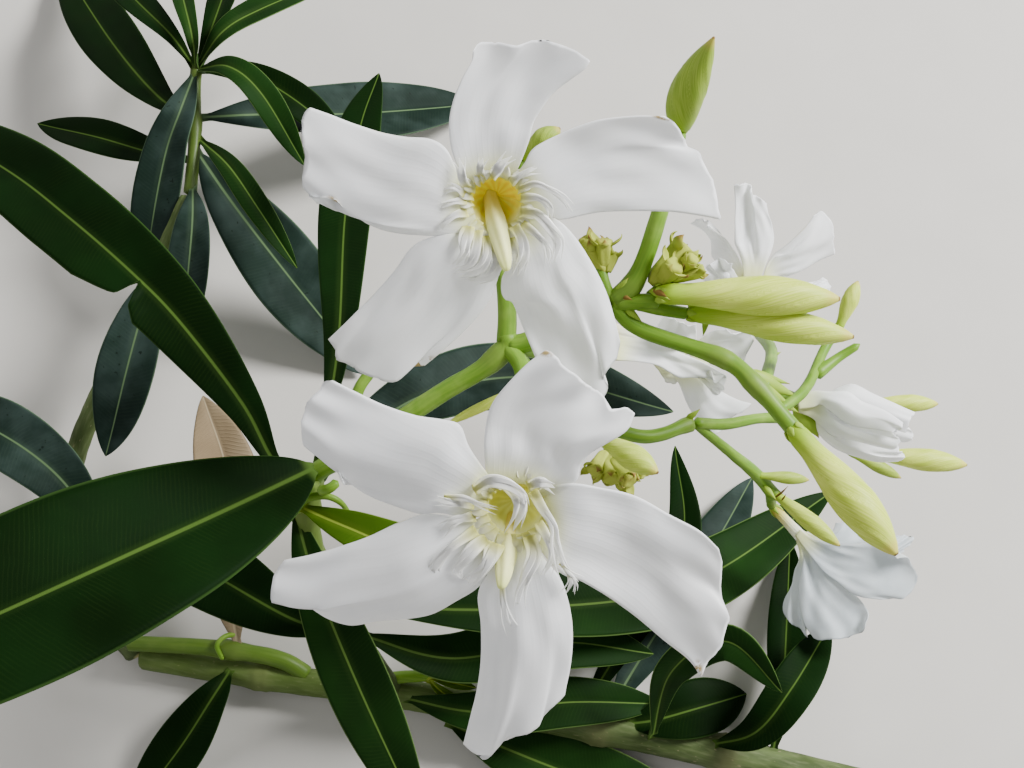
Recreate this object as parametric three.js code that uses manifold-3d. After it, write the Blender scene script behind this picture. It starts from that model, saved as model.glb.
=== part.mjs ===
// A flowering oleander branch, cut off and laid on the ground: a woody main stem, a leafy side shoot,
// and a flowering shoot whose stalks carry white blooms and slender buds. Millimetres, +Z up.
import * as THREE from "three";
import Module from "manifold-3d";

const wasm = await Module();
wasm.setup();

// Driving dimensions.
const CLEARANCE = 0.3; // between a piece and the piece that carries it
const LEAF_THICKNESS = 1.3;
const PETAL_THICKNESS = 0.9;
const MERGED_DETAIL = 0.12; // points closer than this are merged where pieces grow together
const BUD_SIDES = 8;

// A place on the branch is given as [across, down, height]. Across and down are read on a tilted sight
// screen, as seen from an eye point over the branch, and height is in millimetres over the ground.
const EYE = { across: 512, down: 384, scale: 1500, lookDown: 68, distance: 340 };
const MIDDLE_OF_BRANCH = new THREE.Vector3(-17.3, 6.8, 0);

// Where the stems begin, bend, fork and end.
const MAIN_STEM_FOOT = [985, 818, 4.2];
const MAIN_STEM_BEND = [139, 656, 3.6];
const LEFT_JOINT = [190, 196, 29];
const LEAFY_TIP = [196, 70, 34];
const SHOOT_FORK = [392, 690, 5];
const LOW_JOINT = [345, 612, 40];
const TOP_JOINT = [308, 478, 77];
const STALK_FORK = [506, 346, 92];
const SPRAY_KNOT = [612, 303, 100];
const LONG_STALK_JOINT = [722, 358, 98];
const LONG_STALK_END = [790, 425, 96];
const LOWER_SPRAY_FORK = [694, 423, 76];
const FADING_JOINT = [770, 490, 54];

// Colours of the plant.
const WOOD = "#6f7a4c";
const GREEN_STEM = "#8fb04a";
const WHITE = "#eef0f0";
const BUD = "#dbe4a0";
const SPENT = "#a9ad52";
const DARK_LEAF = "#2f4a2c";
const MID_LEAF = "#3d5f35";
const BLUE_LEAF = "#3e5658";
const YOUNG_LEAF = "#86a548";
const DRY_LEAF = "#a08a6a";

// The outline of a closed bud, and of one that is just opening: how far up it, and how wide there as a
// share of its radius.
const CLOSED_BUD = [
  [0, 0.4],
  [0.07, 0.55],
  [0.2, 0.6],
  [0.42, 0.88],
  [0.6, 1],
  [0.78, 0.84],
  [0.92, 0.46],
  [1, 0.14],
];
const OPENING_BUD = [
  [0, 0.22],
  [0.12, 0.42],
  [0.32, 0.82],
  [0.55, 1],
  [0.8, 0.9],
  [0.93, 0.66],
  [1, 0.3],
];
const BUD_TWIST = 1.1;

// How wide a bloom's throat is, and how finely its petals are made.
const THROAT_RADIUS = 4.6;
const PETAL_STEPS = 5;
const PETAL_ACROSS = [-1, 0, 1];
const CLAW = 0.4; // width of a petal's claw as a share of its full width

// The tube of a bloom: a cup of sepals, a slim tube and an open funnel, as rings of
// [share of the tube's length below the rim, radius], first up the outside, then down the inside.
const FUNNEL_OUTSIDE = [
  [1, 1.3],
  [0.95, 2.3],
  [0.8, 2.0],
  [0.55, 2.3],
  [0.3, 3.8],
  [0.06, 5.3],
];
const FUNNEL_INSIDE = [
  [0.02, 4.1],
  [0.42, 1.2],
];
// The frilled crown that stands on the rim of an open throat: how high its teeth reach, and how wide.
const CROWN_TEETH = 8;
const CROWN_RISE = 2.4;
const CROWN_TOOTH = 1.6;

// The blooms. Turns are as seen into the throat, and the petals lie like a pinwheel. Lean is how far a
// bloom's axis leans from the eye, and it leans towards leanTo, a direction on the sight screen.
const BLOOM_UPPER = {
  heart: [497, 205, 128],
  lean: 25,
  leanTo: 85,
  tube: 24,
  flare: 86,
  curl: 25,
  droop: 0.55,
  petals: [
    { turn: 269, reach: 23.3, width: 14, drift: 5.5, end: 0.95, slant: 0 },
    { turn: 342, reach: 29, width: 15, drift: 4, end: 0.95, slant: 1.5 },
    { turn: 56, reach: 32, width: 14.5, drift: 2.5, end: 0.6, slant: 2 },
    { turn: 124, reach: 31, width: 14, drift: 3.2, end: 0.85, slant: 0.5 },
    { turn: 193, reach: 28, width: 14.5, drift: 2, end: 0.85, slant: 1 },
  ],
};
const BLOOM_LOWER = {
  heart: [515, 512, 126],
  lean: 20,
  leanTo: 95,
  tube: 24,
  flare: 86,
  curl: 25,
  droop: 0.5,
  petals: [
    { turn: 285, reach: 22, width: 15.5, drift: 3.8, end: 1, slant: -0.5 },
    { turn: 22, reach: 32.5, width: 16.5, drift: 6.5, end: 0.55, slant: 3 },
    { turn: 85, reach: 34.3, width: 14, drift: 4.7, end: 0.65, slant: 3 },
    { turn: 148, reach: 33, width: 16, drift: 5.8, end: 0.5, slant: 0.5 },
    { turn: 205, reach: 30, width: 14.5, drift: 1.6, end: 0.65, slant: 0.7 },
  ],
};
const BLOOM_BEHIND = {
  heart: [732, 270, 62],
  lean: 82,
  leanTo: 278,
  tube: 16,
  flare: 40,
  curl: 40,
  closed: true,
  petals: evenPetals(272, 25, 11),
};
const BLOOM_SIDE = {
  heart: [688, 354, 64],
  lean: 80,
  leanTo: 16,
  tube: 20,
  flare: 38,
  curl: 40,
  closed: true,
  petals: evenPetals(-62, 19.5, 11),
};
const BLOOM_FADING = {
  heart: [806, 542, 26],
  lean: 74,
  leanTo: 48,
  tube: 10,
  flare: 36,
  curl: 20,
  closed: true,
  petals: evenPetals(-20, 22, 15, { end: 0.9, drift: 1 }),
};

const tilt = THREE.MathUtils.degToRad(EYE.lookDown);
const forward = new THREE.Vector3(0, Math.cos(tilt), -Math.sin(tilt));
const screenUp = new THREE.Vector3(0, Math.sin(tilt), Math.cos(tilt));
const screenRight = new THREE.Vector3(1, 0, 0);
const eyePoint = forward.clone().multiplyScalar(-EYE.distance);

// The point in millimetres at a place.
function at([across, down, height]) {
  const sight = forward
    .clone()
    .addScaledVector(screenRight, (across - EYE.across) / EYE.scale)
    .addScaledVector(screenUp, (EYE.down - down) / EYE.scale);
  const along = (height - eyePoint.z) / sight.z;
  return eyePoint.clone().addScaledVector(sight, along).sub(MIDDLE_OF_BRANCH);
}

// A direction on the sight screen, in degrees clockwise from the right.
function onScreen(degrees) {
  const angle = THREE.MathUtils.degToRad(degrees);
  return new THREE.Vector3()
    .addScaledVector(screenRight, Math.cos(angle))
    .addScaledVector(screenUp, -Math.sin(angle));
}

// A smooth curve through places, or through points that are already worked out.
function smoothCurve(places) {
  const points = places.map((place) => (place.isVector3 ? place : at(place)));
  return new THREE.CatmullRomCurve3(points, false, "catmullrom", 0.5);
}

// A closed solid skinned over rings that all have the same number of points.
function skin(rings) {
  const around = rings[0].length;
  const vertices = rings.flat().flatMap((p) => [p.x, p.y, p.z]);
  const faces = [];
  for (let r = 0; r < rings.length - 1; r++) {
    for (let k = 0; k < around; k++) {
      const a = r * around + k;
      const b = r * around + ((k + 1) % around);
      faces.push([a, b, b + around], [a, b + around, a + around]);
    }
  }
  const last = (rings.length - 1) * around;
  for (let k = 1; k < around - 1; k++) {
    faces.push([0, k + 1, k], [last, last + k, last + k + 1]);
  }
  let volume = 0;
  const corner = (i) => new THREE.Vector3().fromArray(vertices, i * 3);
  for (const [a, b, c] of faces) volume += corner(a).dot(corner(b).cross(corner(c)));
  const outward = volume < 0 ? faces.map(([a, b, c]) => [a, c, b]) : faces;
  return new wasm.Manifold(
    new wasm.Mesh({
      numProp: 3,
      vertProperties: new Float32Array(vertices),
      triVerts: new Uint32Array(outward.flat()),
    }),
  );
}

// Solids that are grown together as one.
function join(solids) {
  return solids.reduce((whole, solid) => whole.add(solid));
}

// A round ring about a point, square to a direction.
function ring(middle, side, lift, radius, sides, turn = 0) {
  return Array.from({ length: sides }, (_, k) => {
    const angle = turn + (2 * Math.PI * k) / sides;
    return middle
      .clone()
      .addScaledVector(side, radius * Math.cos(angle))
      .addScaledVector(lift, radius * Math.sin(angle));
  });
}

// A stem: a tapering round limb along a smooth curve, a little swollen at its leaf joints.
function stem({ along, radii, joints = [], steps = 10, sides = 6, swelling = 0.18 }, grow) {
  const curve = smoothCurve(along);
  const frames = curve.computeFrenetFrames(steps, false);
  const rings = [];
  for (let i = 0; i <= steps; i++) {
    const t = i / steps;
    const nearJoint = joints.some((joint) => Math.abs(joint - t) < 0.5 / steps);
    const radius = THREE.MathUtils.lerp(radii[0], radii[1], t) * (nearJoint ? 1 + swelling : 1);
    const middle = curve.getPointAt(t);
    if (i === 0) middle.addScaledVector(frames.tangents[0], -grow);
    if (i === steps) middle.addScaledVector(frames.tangents[steps], grow);
    rings.push(ring(middle, frames.normals[i], frames.binormals[i], radius + grow, sides));
  }
  return skin(rings);
}

// A leaf: a long lance-shaped blade, folded along its midrib, on a short flat foot.
function leaf({ along, width, roll = 0, twist = 0, fold = 12, steps = 9 }, grow) {
  const curve = smoothCurve(along);
  const thickness = Math.max(LEAF_THICKNESS, curve.getLength() / 95) + 2 * grow;
  const rings = [];
  for (let i = 0; i <= steps; i++) {
    const t = i / steps;
    const tangent = curve.getTangentAt(t);
    const angle = THREE.MathUtils.degToRad(roll + twist * t);
    const flat = new THREE.Vector3(0, 0, 1).cross(tangent).normalize();
    const side = flat.applyAxisAngle(tangent, angle);
    const normal = tangent.clone().cross(side);
    const foot = 1.3 * Math.max(0, 1 - 4 * t);
    const blade = (width / 2) * Math.pow(Math.max(0, 4 * t * (1 - t)), 0.7) * (1.12 - 0.24 * t);
    const half = Math.max(0.7, foot, blade) + grow;
    const raise = half * Math.tan(THREE.MathUtils.degToRad(fold));
    const middle = curve.getPointAt(t).addScaledVector(normal, -raise * 0.4);
    if (i === 0) middle.addScaledVector(tangent, -grow);
    if (i === steps) middle.addScaledVector(tangent, grow);
    const corner = (across, up) =>
      middle.clone().addScaledVector(side, across).addScaledVector(normal, up);
    rings.push([
      corner(-half, raise + thickness / 2),
      corner(0, thickness / 2),
      corner(half, raise + thickness / 2),
      corner(half, raise - thickness / 2),
      corner(0, -thickness / 2),
      corner(-half, raise - thickness / 2),
    ]);
  }
  return skin(rings);
}

// A bud: a spindle of rolled petals over its cup of sepals.
function bud({ from, to, radius, outline = CLOSED_BUD }, grow) {
  const foot = at(from);
  const axis = at(to).sub(foot);
  const direction = axis.clone().normalize();
  const side = new THREE.Vector3(0, 0, 1).cross(direction).normalize();
  const lift = direction.clone().cross(side);
  return skin(
    outline.map(([t, share], i) => {
      const end = i === 0 ? -grow : i === outline.length - 1 ? grow : 0;
      const middle = foot.clone().addScaledVector(axis, t).addScaledVector(direction, end);
      return ring(middle, side, lift, radius * share + grow, BUD_SIDES, BUD_TWIST * t);
    }),
  );
}

// Evenly set petals, for the blooms that are seen from the side or from behind.
function evenPetals(first, reach, width, rest = {}) {
  return Array.from({ length: 5 }, (_, i) => ({ turn: first + 72 * i, reach, width, ...rest }));
}
// A bloom's own directions: its axis out of the throat, and spokes square to it. A spoke's turn is in
// degrees clockwise, as seen by one who looks into the throat.
function bloomFrame({ lean, leanTo }) {
  const angle = THREE.MathUtils.degToRad(lean);
  const axis = forward
    .clone()
    .multiplyScalar(-Math.cos(angle))
    .addScaledVector(onScreen(leanTo), Math.sin(angle));
  const spoke = (degrees) =>
    onScreen(leanTo + 90).applyAxisAngle(axis, THREE.MathUtils.degToRad(leanTo + 90 - degrees));
  return { axis, spoke };
}

// The foot of a bloom's cup, where its stalk ends.
function bloomFoot(bloom) {
  return at(bloom.heart).addScaledVector(bloomFrame(bloom).axis, -bloom.tube);
}

// A petal: broad from its claw on, with a slanted end whose sharp corner is on the clockwise side.
// It leaves the throat's rim steeply, bends out to the bloom's flare and curls a little at its end.
function petal(bloom, { turn, reach, width, drift = 3, end = 0.8, slant = 1, twist = -8 }, grow) {
  const { axis, spoke } = bloomFrame(bloom);
  const out = spoke(turn);
  const clockwise = spoke(turn + 90);
  const start = THREE.MathUtils.degToRad(Math.min(60, bloom.flare));
  const flare = THREE.MathUtils.degToRad(bloom.flare);
  const curl = THREE.MathUtils.degToRad(bloom.curl);
  const step = (reach - THROAT_RADIUS) / PETAL_STEPS;
  const thick = PETAL_THICKNESS / 2 + grow;
  const middle = at(bloom.heart)
    .addScaledVector(out, THROAT_RADIUS)
    .addScaledVector(axis, -0.6);
  const rings = [];
  for (let i = 0; i <= PETAL_STEPS; i++) {
    const s = i / PETAL_STEPS;
    const opening = start + (flare - start) * Math.min(1, s / 0.2) + curl * Math.max(0, s - 0.4);
    const forwards = out
      .clone()
      .multiplyScalar(Math.sin(opening))
      .addScaledVector(axis, Math.cos(opening));
    const side = clockwise.clone().applyAxisAngle(forwards, THREE.MathUtils.degToRad(twist) * s);
    const normal = forwards.clone().cross(side);
    const widening = CLAW + (1 - CLAW) * Math.sin(Math.min(1, s / 0.6) * (Math.PI / 2));
    const narrowing = 1 - (1 - end) * THREE.MathUtils.smoothstep(s, 0.6, 1);
    const half = (width / 2) * widening * narrowing + grow;
    const sideways = drift * Math.pow(s, 1.6);
    if (i > 0) middle.addScaledVector(forwards, step);
    const corner = (t, up) =>
      middle
        .clone()
        .addScaledVector(side, sideways + t * half)
        .addScaledVector(forwards, s * s * slant * t)
        .addScaledVector(normal, up - 0.1 * t * t * half);
    rings.push([
      ...PETAL_ACROSS.map((t) => corner(t, thick)),
      ...PETAL_ACROSS.map((t) => corner(-t, -thick)),
    ]);
  }
  return skin(rings);
}

// The cup, tube and funnel of a bloom, as one hollow solid that is open at the throat.
function funnel(bloom, grow) {
  const { axis, spoke } = bloomFrame(bloom);
  const sides = bloom.closed ? 8 : CROWN_TEETH * 2;
  const place = (rise, radius, tooth = 0) => {
    const middle = at(bloom.heart).addScaledVector(axis, rise);
    return ring(middle, spoke(0), spoke(90), radius, sides).map((point, k) => {
      if (!tooth || k % 2) return point;
      const out = point.clone().sub(middle).normalize();
      return point.addScaledVector(out, tooth).addScaledVector(axis, tooth * 0.5);
    });
  };
  const outside = FUNNEL_OUTSIDE.map(([share, radius], i) =>
    place(-share * bloom.tube - (i ? 0 : grow), radius + grow),
  );
  const inside = FUNNEL_INSIDE.map(([share, radius]) =>
    place(-share * bloom.tube, radius - grow),
  );
  const rim = bloom.closed
    ? [place(grow, THROAT_RADIUS + 0.5 + grow), place(grow, THROAT_RADIUS - grow)]
    : [
        place(CROWN_RISE - 0.3 - grow, THROAT_RADIUS + 1 + grow, CROWN_TOOTH),
        place(CROWN_RISE + grow, THROAT_RADIUS + 0.4 - grow, CROWN_TOOTH),
      ];
  return skin([...outside, ...rim, ...inside]);
}

// The pale cone of joined anthers that leans out of the throat.
function antherCone(bloom, grow) {
  const { axis, spoke } = bloomFrame(bloom);
  const direction = axis
    .clone()
    .addScaledVector(spoke(bloom.leanTo), bloom.droop ?? 0.5)
    .normalize();
  const side = direction.clone().cross(spoke(bloom.leanTo + 90)).normalize();
  const lift = direction.clone().cross(side);
  const foot = at(bloom.heart).addScaledVector(axis, -bloom.tube * 0.45);
  const length = bloom.tube * 0.45 + 6;
  return skin(
    [
      [0, 1.1],
      [0.45, 1.5],
      [0.75, 1.2],
      [1, 0.35],
    ].map(([t, radius]) =>
      ring(foot.clone().addScaledVector(direction, length * t), side, lift, radius + grow, 6),
    ),
  );
}

// A whole bloom.
function bloomSolid(bloom, grow) {
  const solids = bloom.petals.map((one) => petal(bloom, one, grow));
  solids.push(funnel(bloom, grow));
  if (!bloom.closed) solids.push(antherCone(bloom, grow));
  return join(solids).simplify(MERGED_DETAIL);
}

// A tuft of spent flower cups: a knot with short pointed scales standing out of it.
function tuft({ middle, size, scales = 5, turn = 0 }, grow) {
  const heart = at(middle);
  const knot = new THREE.IcosahedronGeometry(size * 0.42 + grow, 0);
  const solids = [fromGeometry(knot, heart)];
  for (let i = 0; i < scales; i++) {
    const angle = turn + i * 2.4;
    const rise = 0.25 + 0.6 * Math.sin(i * 1.7);
    const direction = new THREE.Vector3(Math.cos(angle), Math.sin(angle), rise).normalize();
    const side = new THREE.Vector3(0, 0, 1).cross(direction).normalize();
    const lift = direction.clone().cross(side);
    const rings = [
      [0, 0.2],
      [0.6, 0.17],
      [1, 0.06],
    ].map(([t, share]) =>
      ring(
        heart.clone().addScaledVector(direction, size * t + (t === 1 ? grow : 0)),
        side,
        lift,
        size * share + grow,
        4,
      ),
    );
    solids.push(skin(rings));
  }
  return join(solids).simplify(MERGED_DETAIL);
}

// A closed geometry as a solid, with the corners that its faces share merged.
function fromGeometry(geometry, offset) {
  const position = geometry.getAttribute("position");
  const keys = new Map();
  const vertices = [];
  const faces = [];
  for (let i = 0; i < position.count; i++) {
    const p = new THREE.Vector3().fromBufferAttribute(position, i).add(offset);
    const key = p.toArray().map((n) => n.toFixed(3)).join();
    if (!keys.has(key)) {
      keys.set(key, keys.size);
      vertices.push(p.x, p.y, p.z);
    }
    faces.push(keys.get(key));
  }
  return new wasm.Manifold(
    new wasm.Mesh({
      numProp: 3,
      vertProperties: new Float32Array(vertices),
      triVerts: new Uint32Array(faces),
    }),
  );
}

// Each piece is made twice: as it is, and grown by the clearance, to cut later pieces clear of it.
const pieces = [];
function add(name, colour, roughness, make) {
  pieces.push({ name, colour, roughness, make });
}
const addStem = (name, colour, ...limbs) =>
  add(name, colour, 0.6, (grow) => join(limbs.map((limb) => stem(limb, grow))));
const addBud = (name, spec) => add(name, BUD, 0.5, (grow) => bud(spec, grow));
const addLeaf = (name, colour, spec) => add(name, colour, 0.45, (grow) => leaf(spec, grow));
const addBloom = (name, bloom) => add(name, WHITE, 0.6, (grow) => bloomSolid(bloom, grow));
const addTuft = (name, spec) => add(name, SPENT, 0.7, (grow) => tuft(spec, grow));

// The woody main stem lies on the ground from its cut foot, then turns up into the leafy side shoot.
addStem("main_stem", WOOD, {
  along: [
    MAIN_STEM_FOOT,
    [700, 748, 4.2],
    [588, 726, 4.1],
    [400, 694, 4],
    [300, 681, 3.9],
    [220, 669, 3.7],
    MAIN_STEM_BEND,
  ],
  radii: [3.9, 2.6],
  joints: [0.3, 0.45, 0.7, 0.85],
  steps: 18,
  sides: 8,
});
addStem("side_shoot", WOOD, {
  along: [MAIN_STEM_BEND, [80, 580, 5], [72, 470, 12], [130, 330, 22], LEFT_JOINT],
  radii: [2.5, 1.9],
  joints: [0.35, 0.7],
  steps: 16,
});
addStem("side_twig", GREEN_STEM, {
  along: [[322, 680, 5], [289, 657, 7.5], [215, 645, 8.5], [128, 641, 8]],
  radii: [1.9, 1.6],
  joints: [0.7],
  steps: 7,
});

// The leafy tip of the side shoot: the end of the stem with its youngest leaves grown together on it.
const TIP_LEAVES = [
  { along: [LEAFY_TIP, [176, 115, 34], [158, 215, 26], [146, 285, 16]], width: 13, fold: 8 },
  { along: [LEAFY_TIP, [232, 82, 40], [272, 118, 38], [304, 166, 28]], width: 9 },
  { along: [LEAFY_TIP, [230, 28, 40], [275, 2, 38], [335, -22, 28]], width: 9 },
  { along: [LEAFY_TIP, [170, 32, 40], [130, 0, 34], [82, -38, 22]], width: 13 },
  { along: [LEAFY_TIP, [194, 36, 42], [188, -4, 40], [175, -46, 30]], width: 7 },
  { along: [[194, 118, 32], [160, 100, 28], [112, 42, 18], [62, -34, 1.6]], width: 16 },
];
const TIP_STEM = {
  along: [LEFT_JOINT, [195, 130, 32], LEAFY_TIP, [196, 60, 35]],
  radii: [1.8, 1.3],
  steps: 6,
};
add("leafy_tip", MID_LEAF, 0.45, (grow) =>
  join([
    stem(TIP_STEM, grow),
    ...TIP_LEAVES.map((spec) => leaf({ ...spec, steps: 7 }, grow)),
  ]).simplify(0.05),
);

// The flowering shoot rises from the main stem to a leafy joint, where the flower stalk goes on.
addStem("flowering_shoot", WOOD, {
  along: [SHOOT_FORK, [368, 655, 20], LOW_JOINT, [322, 545, 62], TOP_JOINT],
  radii: [2.3, 2.1],
  joints: [0.5, 0.9],
  steps: 12,
});
addStem("flower_stalk", GREEN_STEM, {
  along: [TOP_JOINT, [350, 447, 80], [395, 410, 84], [450, 377, 88], STALK_FORK],
  radii: [1.9, 1.8],
  steps: 8,
});

// A stalk that ends at a bloom's cup of sepals.
const toBloom = (places, bloom) => [...places, bloomFoot(bloom)];
addStem(
  "stalk_upper_bloom",
  GREEN_STEM,
  {
    along: toBloom([STALK_FORK, [507, 305, 95], [500, 240, 100]], BLOOM_UPPER),
    radii: [1.6, 1.2],
    steps: 8,
  },
  { along: [[502, 250, 99], [515, 200, 101], [523, 158, 104]], radii: [1, 0.9], steps: 3 },
);
addStem("stalk_lower_bloom", GREEN_STEM, {
  along: toBloom([STALK_FORK, [508, 400, 95]], BLOOM_LOWER),
  radii: [1.4, 1.2],
  steps: 6,
});

// The upper spray of stalks runs right from the fork.
addStem(
  "upper_spray",
  GREEN_STEM,
  { along: [STALK_FORK, [530, 341, 93], [575, 318, 97], SPRAY_KNOT], radii: [1.7, 1.5], steps: 6 },
  {
    along: [SPRAY_KNOT, [633, 273, 104], [662, 208, 110], [684, 128, 112]],
    radii: [1.5, 1.2],
    steps: 8,
  },
  { along: [SPRAY_KNOT, [636, 302, 101], [662, 300, 102]], radii: [1.4, 1.2], steps: 4 },
  { along: [[634, 302, 101], [652, 308, 100], [670, 318, 99]], radii: [1.1, 1], steps: 3 },
  { along: [SPRAY_KNOT, [604, 282, 102], [600, 264, 103]], radii: [1, 0.9], steps: 2 },
  { along: [[646, 300, 101], [664, 285, 102.5], [678, 270, 103]], radii: [1, 0.9], steps: 3 },
);
addStem("long_stalk", GREEN_STEM, {
  along: [SPRAY_KNOT, [640, 329, 98], LONG_STALK_JOINT, [755, 385, 98], LONG_STALK_END],
  radii: [1.3, 1.2],
  joints: [0.6],
  steps: 10,
});

// The lower spray hangs below it, and forks towards the small buds and the fading bloom.
addStem(
  "lower_spray",
  GREEN_STEM,
  { along: [[754, 476, 58], [775, 479, 57], [808, 479, 56]], radii: [1.1, 0.5], steps: 3 },
  {
    along: [STALK_FORK, [560, 400, 86], [638, 436, 80], LOWER_SPRAY_FORK],
    radii: [1.4, 1.1],
    steps: 9,
  },
  {
    along: [LOWER_SPRAY_FORK, [725, 448, 68], [755, 475, 58], FADING_JOINT],
    radii: [0.9, 0.9],
    steps: 6,
  },
  { along: toBloom([FADING_JOINT], BLOOM_FADING), radii: [1, 1], steps: 3 },
  { along: [[598, 416, 83], [606, 440, 86], [614, 468, 86]], radii: [0.9, 0.8], steps: 3 },
  { along: [[584, 410, 84], [590, 424, 89], [602, 441, 92]], radii: [1, 0.9], steps: 3 },
  { along: [[812, 424, 59], [838, 416, 58], [868, 403, 58]], radii: [0.8, 0.7], steps: 3 },
  {
    along: [LOWER_SPRAY_FORK, [726, 424, 72], [768, 418, 66], [820, 425, 58], [868, 452, 52]],
    radii: [0.9, 0.8],
    steps: 8,
  },
);

addBloom("bloom_upper", BLOOM_UPPER);
addBloom("bloom_lower", BLOOM_LOWER);
addStem("stalk_bloom_behind", GREEN_STEM, {
  along: toBloom([[752, 383, 97], [766, 365, 84]], BLOOM_BEHIND),
  radii: [1.0, 1.1],
  steps: 5,
});
addBloom("bloom_behind", BLOOM_BEHIND);
addStem("stalk_bloom_side", GREEN_STEM, {
  along: toBloom([STALK_FORK, [545, 350, 80]], BLOOM_SIDE),
  radii: [1.3, 1.1],
  steps: 6,
});
addBloom("bloom_side", BLOOM_SIDE);
addStem("stalk_bloom_opening", GREEN_STEM, {
  along: [[758, 388, 98], [776, 392, 93], [797, 399, 86]],
  radii: [1.0, 1.0],
  steps: 4,
});
add("bloom_opening", WHITE, 0.6, (grow) =>
  bud({ from: [797, 399, 86], to: [912, 434, 84], radius: 6.3, outline: OPENING_BUD }, grow),
);
addBloom("bloom_fading", BLOOM_FADING);
addStem(
  "stalk_thin_bud",
  GREEN_STEM,
  {
    along: [[779, 411, 95.6], [806, 388, 92], [824, 350, 88], [838, 329, 88]],
    radii: [0.9, 0.8],
    steps: 5,
  },
  { along: [[814, 376, 90], [838, 358, 89], [860, 344, 90]], radii: [1.1, 0.6], steps: 3 },
);

addBud("bud_high", { from: [684, 124, 112], to: [711, 38, 130], radius: 2.6 });
addBud("bud_long_upper", { from: [656, 294, 103], to: [840, 299, 103], radius: 3.1 });
addBud("bud_long_lower", { from: [668, 318, 99], to: [854, 337, 99], radius: 2.6 });
addBud("bud_plump", { from: [792, 428, 96], to: [897, 555, 95], radius: 3.2 });
addBud("bud_lower", { from: FADING_JOINT, to: [840, 546, 54], radius: 2 });
addBud("bud_right_upper", { from: [866, 403, 58], to: [938, 404, 56], radius: 1.6 });
addBud("bud_right_lower", { from: [868, 454, 52], to: [967, 465, 50], radius: 2.1 });
addBud("bud_thin", { from: [838, 330, 88], to: [858, 281, 91], radius: 1.4 });
addBud("bud_front", { from: [600, 440, 92], to: [656, 470, 96], radius: 3 });
addBud("bud_back", { from: [522, 158, 104], to: [560, 128, 108], radius: 1.9 });

addTuft("spent_cups_upper", { middle: [600, 262, 103], size: 6, turn: 0.4 });
addTuft("spent_cups_right", { middle: [680, 268, 103], size: 6, turn: 1.3 });
addTuft("spent_cups_lower", { middle: [615, 472, 86], size: 6.5, turn: 2.1 });

// Leaves of the flowering shoot's top joint.
addLeaf("leaf_near", DARK_LEAF, {
  along: [[312, 470, 78], [150, 546, 92], [-80, 640, 102], [-300, 730, 100]],
  width: 27,
});
addLeaf("leaf_arching", DARK_LEAF, {
  along: [[300, 474, 78], [240, 410, 80], [140, 280, 82], [0, 163, 76], [-110, 105, 66]],
  width: 17,
});
addLeaf("leaf_upright", DARK_LEAF, {
  along: [[318, 468, 76], [337, 340, 70], [346, 200, 58], [379, 74, 48]],
  width: 10,
});
addLeaf("leaf_hanging_front", MID_LEAF, {
  along: [[294, 506, 70], [315, 580, 62], [360, 690, 48], [425, 830, 30]],
  width: 11,
});
addLeaf("leaf_young", YOUNG_LEAF, {
  along: [[300, 503, 74], [350, 525, 76], [410, 545, 76], [500, 560, 70]],
  width: 8,
});
addLeaf("leaf_behind_stalk", BLUE_LEAF, {
  along: [[321, 478, 73], [345, 450, 69], [430, 400, 66], [540, 385, 58], [673, 412, 50]],
  width: 16,
});

// Leaves of the low joint and of the main stem's joints, most of them lying on the ground.
addLeaf("leaf_wide_right", MID_LEAF, {
  along: [[350, 606, 40], [520, 620, 30], [690, 590, 16], [832, 492, 1.2]],
  width: 20,
});
addLeaf("leaf_short_right", MID_LEAF, {
  along: [[358, 634, 31], [450, 658, 24], [560, 642, 20], [653, 654, 14]],
  width: 12,
});
addLeaf("leaf_low_front", MID_LEAF, {
  along: [[402, 698, 6], [480, 712, 12], [570, 700, 12], [662, 706, 6]],
  width: 13,
});
addLeaf("leaf_thin_right", MID_LEAF, {
  along: [[652, 738, 7.5], [672, 672, 26], [727, 642, 34], [782, 692, 28]],
  width: 8,
  roll: 35,
});
addLeaf("leaf_dark_right", DARK_LEAF, {
  along: [[626, 724, 6.5], [655, 720, 8], [698, 708, 8], [746, 694, 4]],
  width: 12,
});
addLeaf("leaf_curved_right", DARK_LEAF, {
  along: [[712, 745, 7], [756, 732, 16], [792, 688, 20], [830, 625, 14]],
  width: 9,
});
addLeaf("leaf_stem_right", DARK_LEAF, {
  along: [[772, 758, 5], [782, 700, 8], [787, 620, 6], [790, 540, 1.2]],
  width: 11,
});
addLeaf("leaf_up_behind", DARK_LEAF, {
  along: [[580, 714, 6.5], [625, 640, 12], [674, 560, 12], [677, 446, 15]],
  width: 11,
});
addLeaf("leaf_up_tilted", BLUE_LEAF, {
  along: [[606, 716, 5], [652, 640, 4.5], [714, 545, 4.5], [752, 478, 1.2]],
  width: 12,
});
addLeaf("leaf_bottom", MID_LEAF, {
  along: [[446, 722, 2.4], [505, 748, 4], [590, 780, 3.6], [690, 806, 1.4]],
  width: 15,
});

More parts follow.
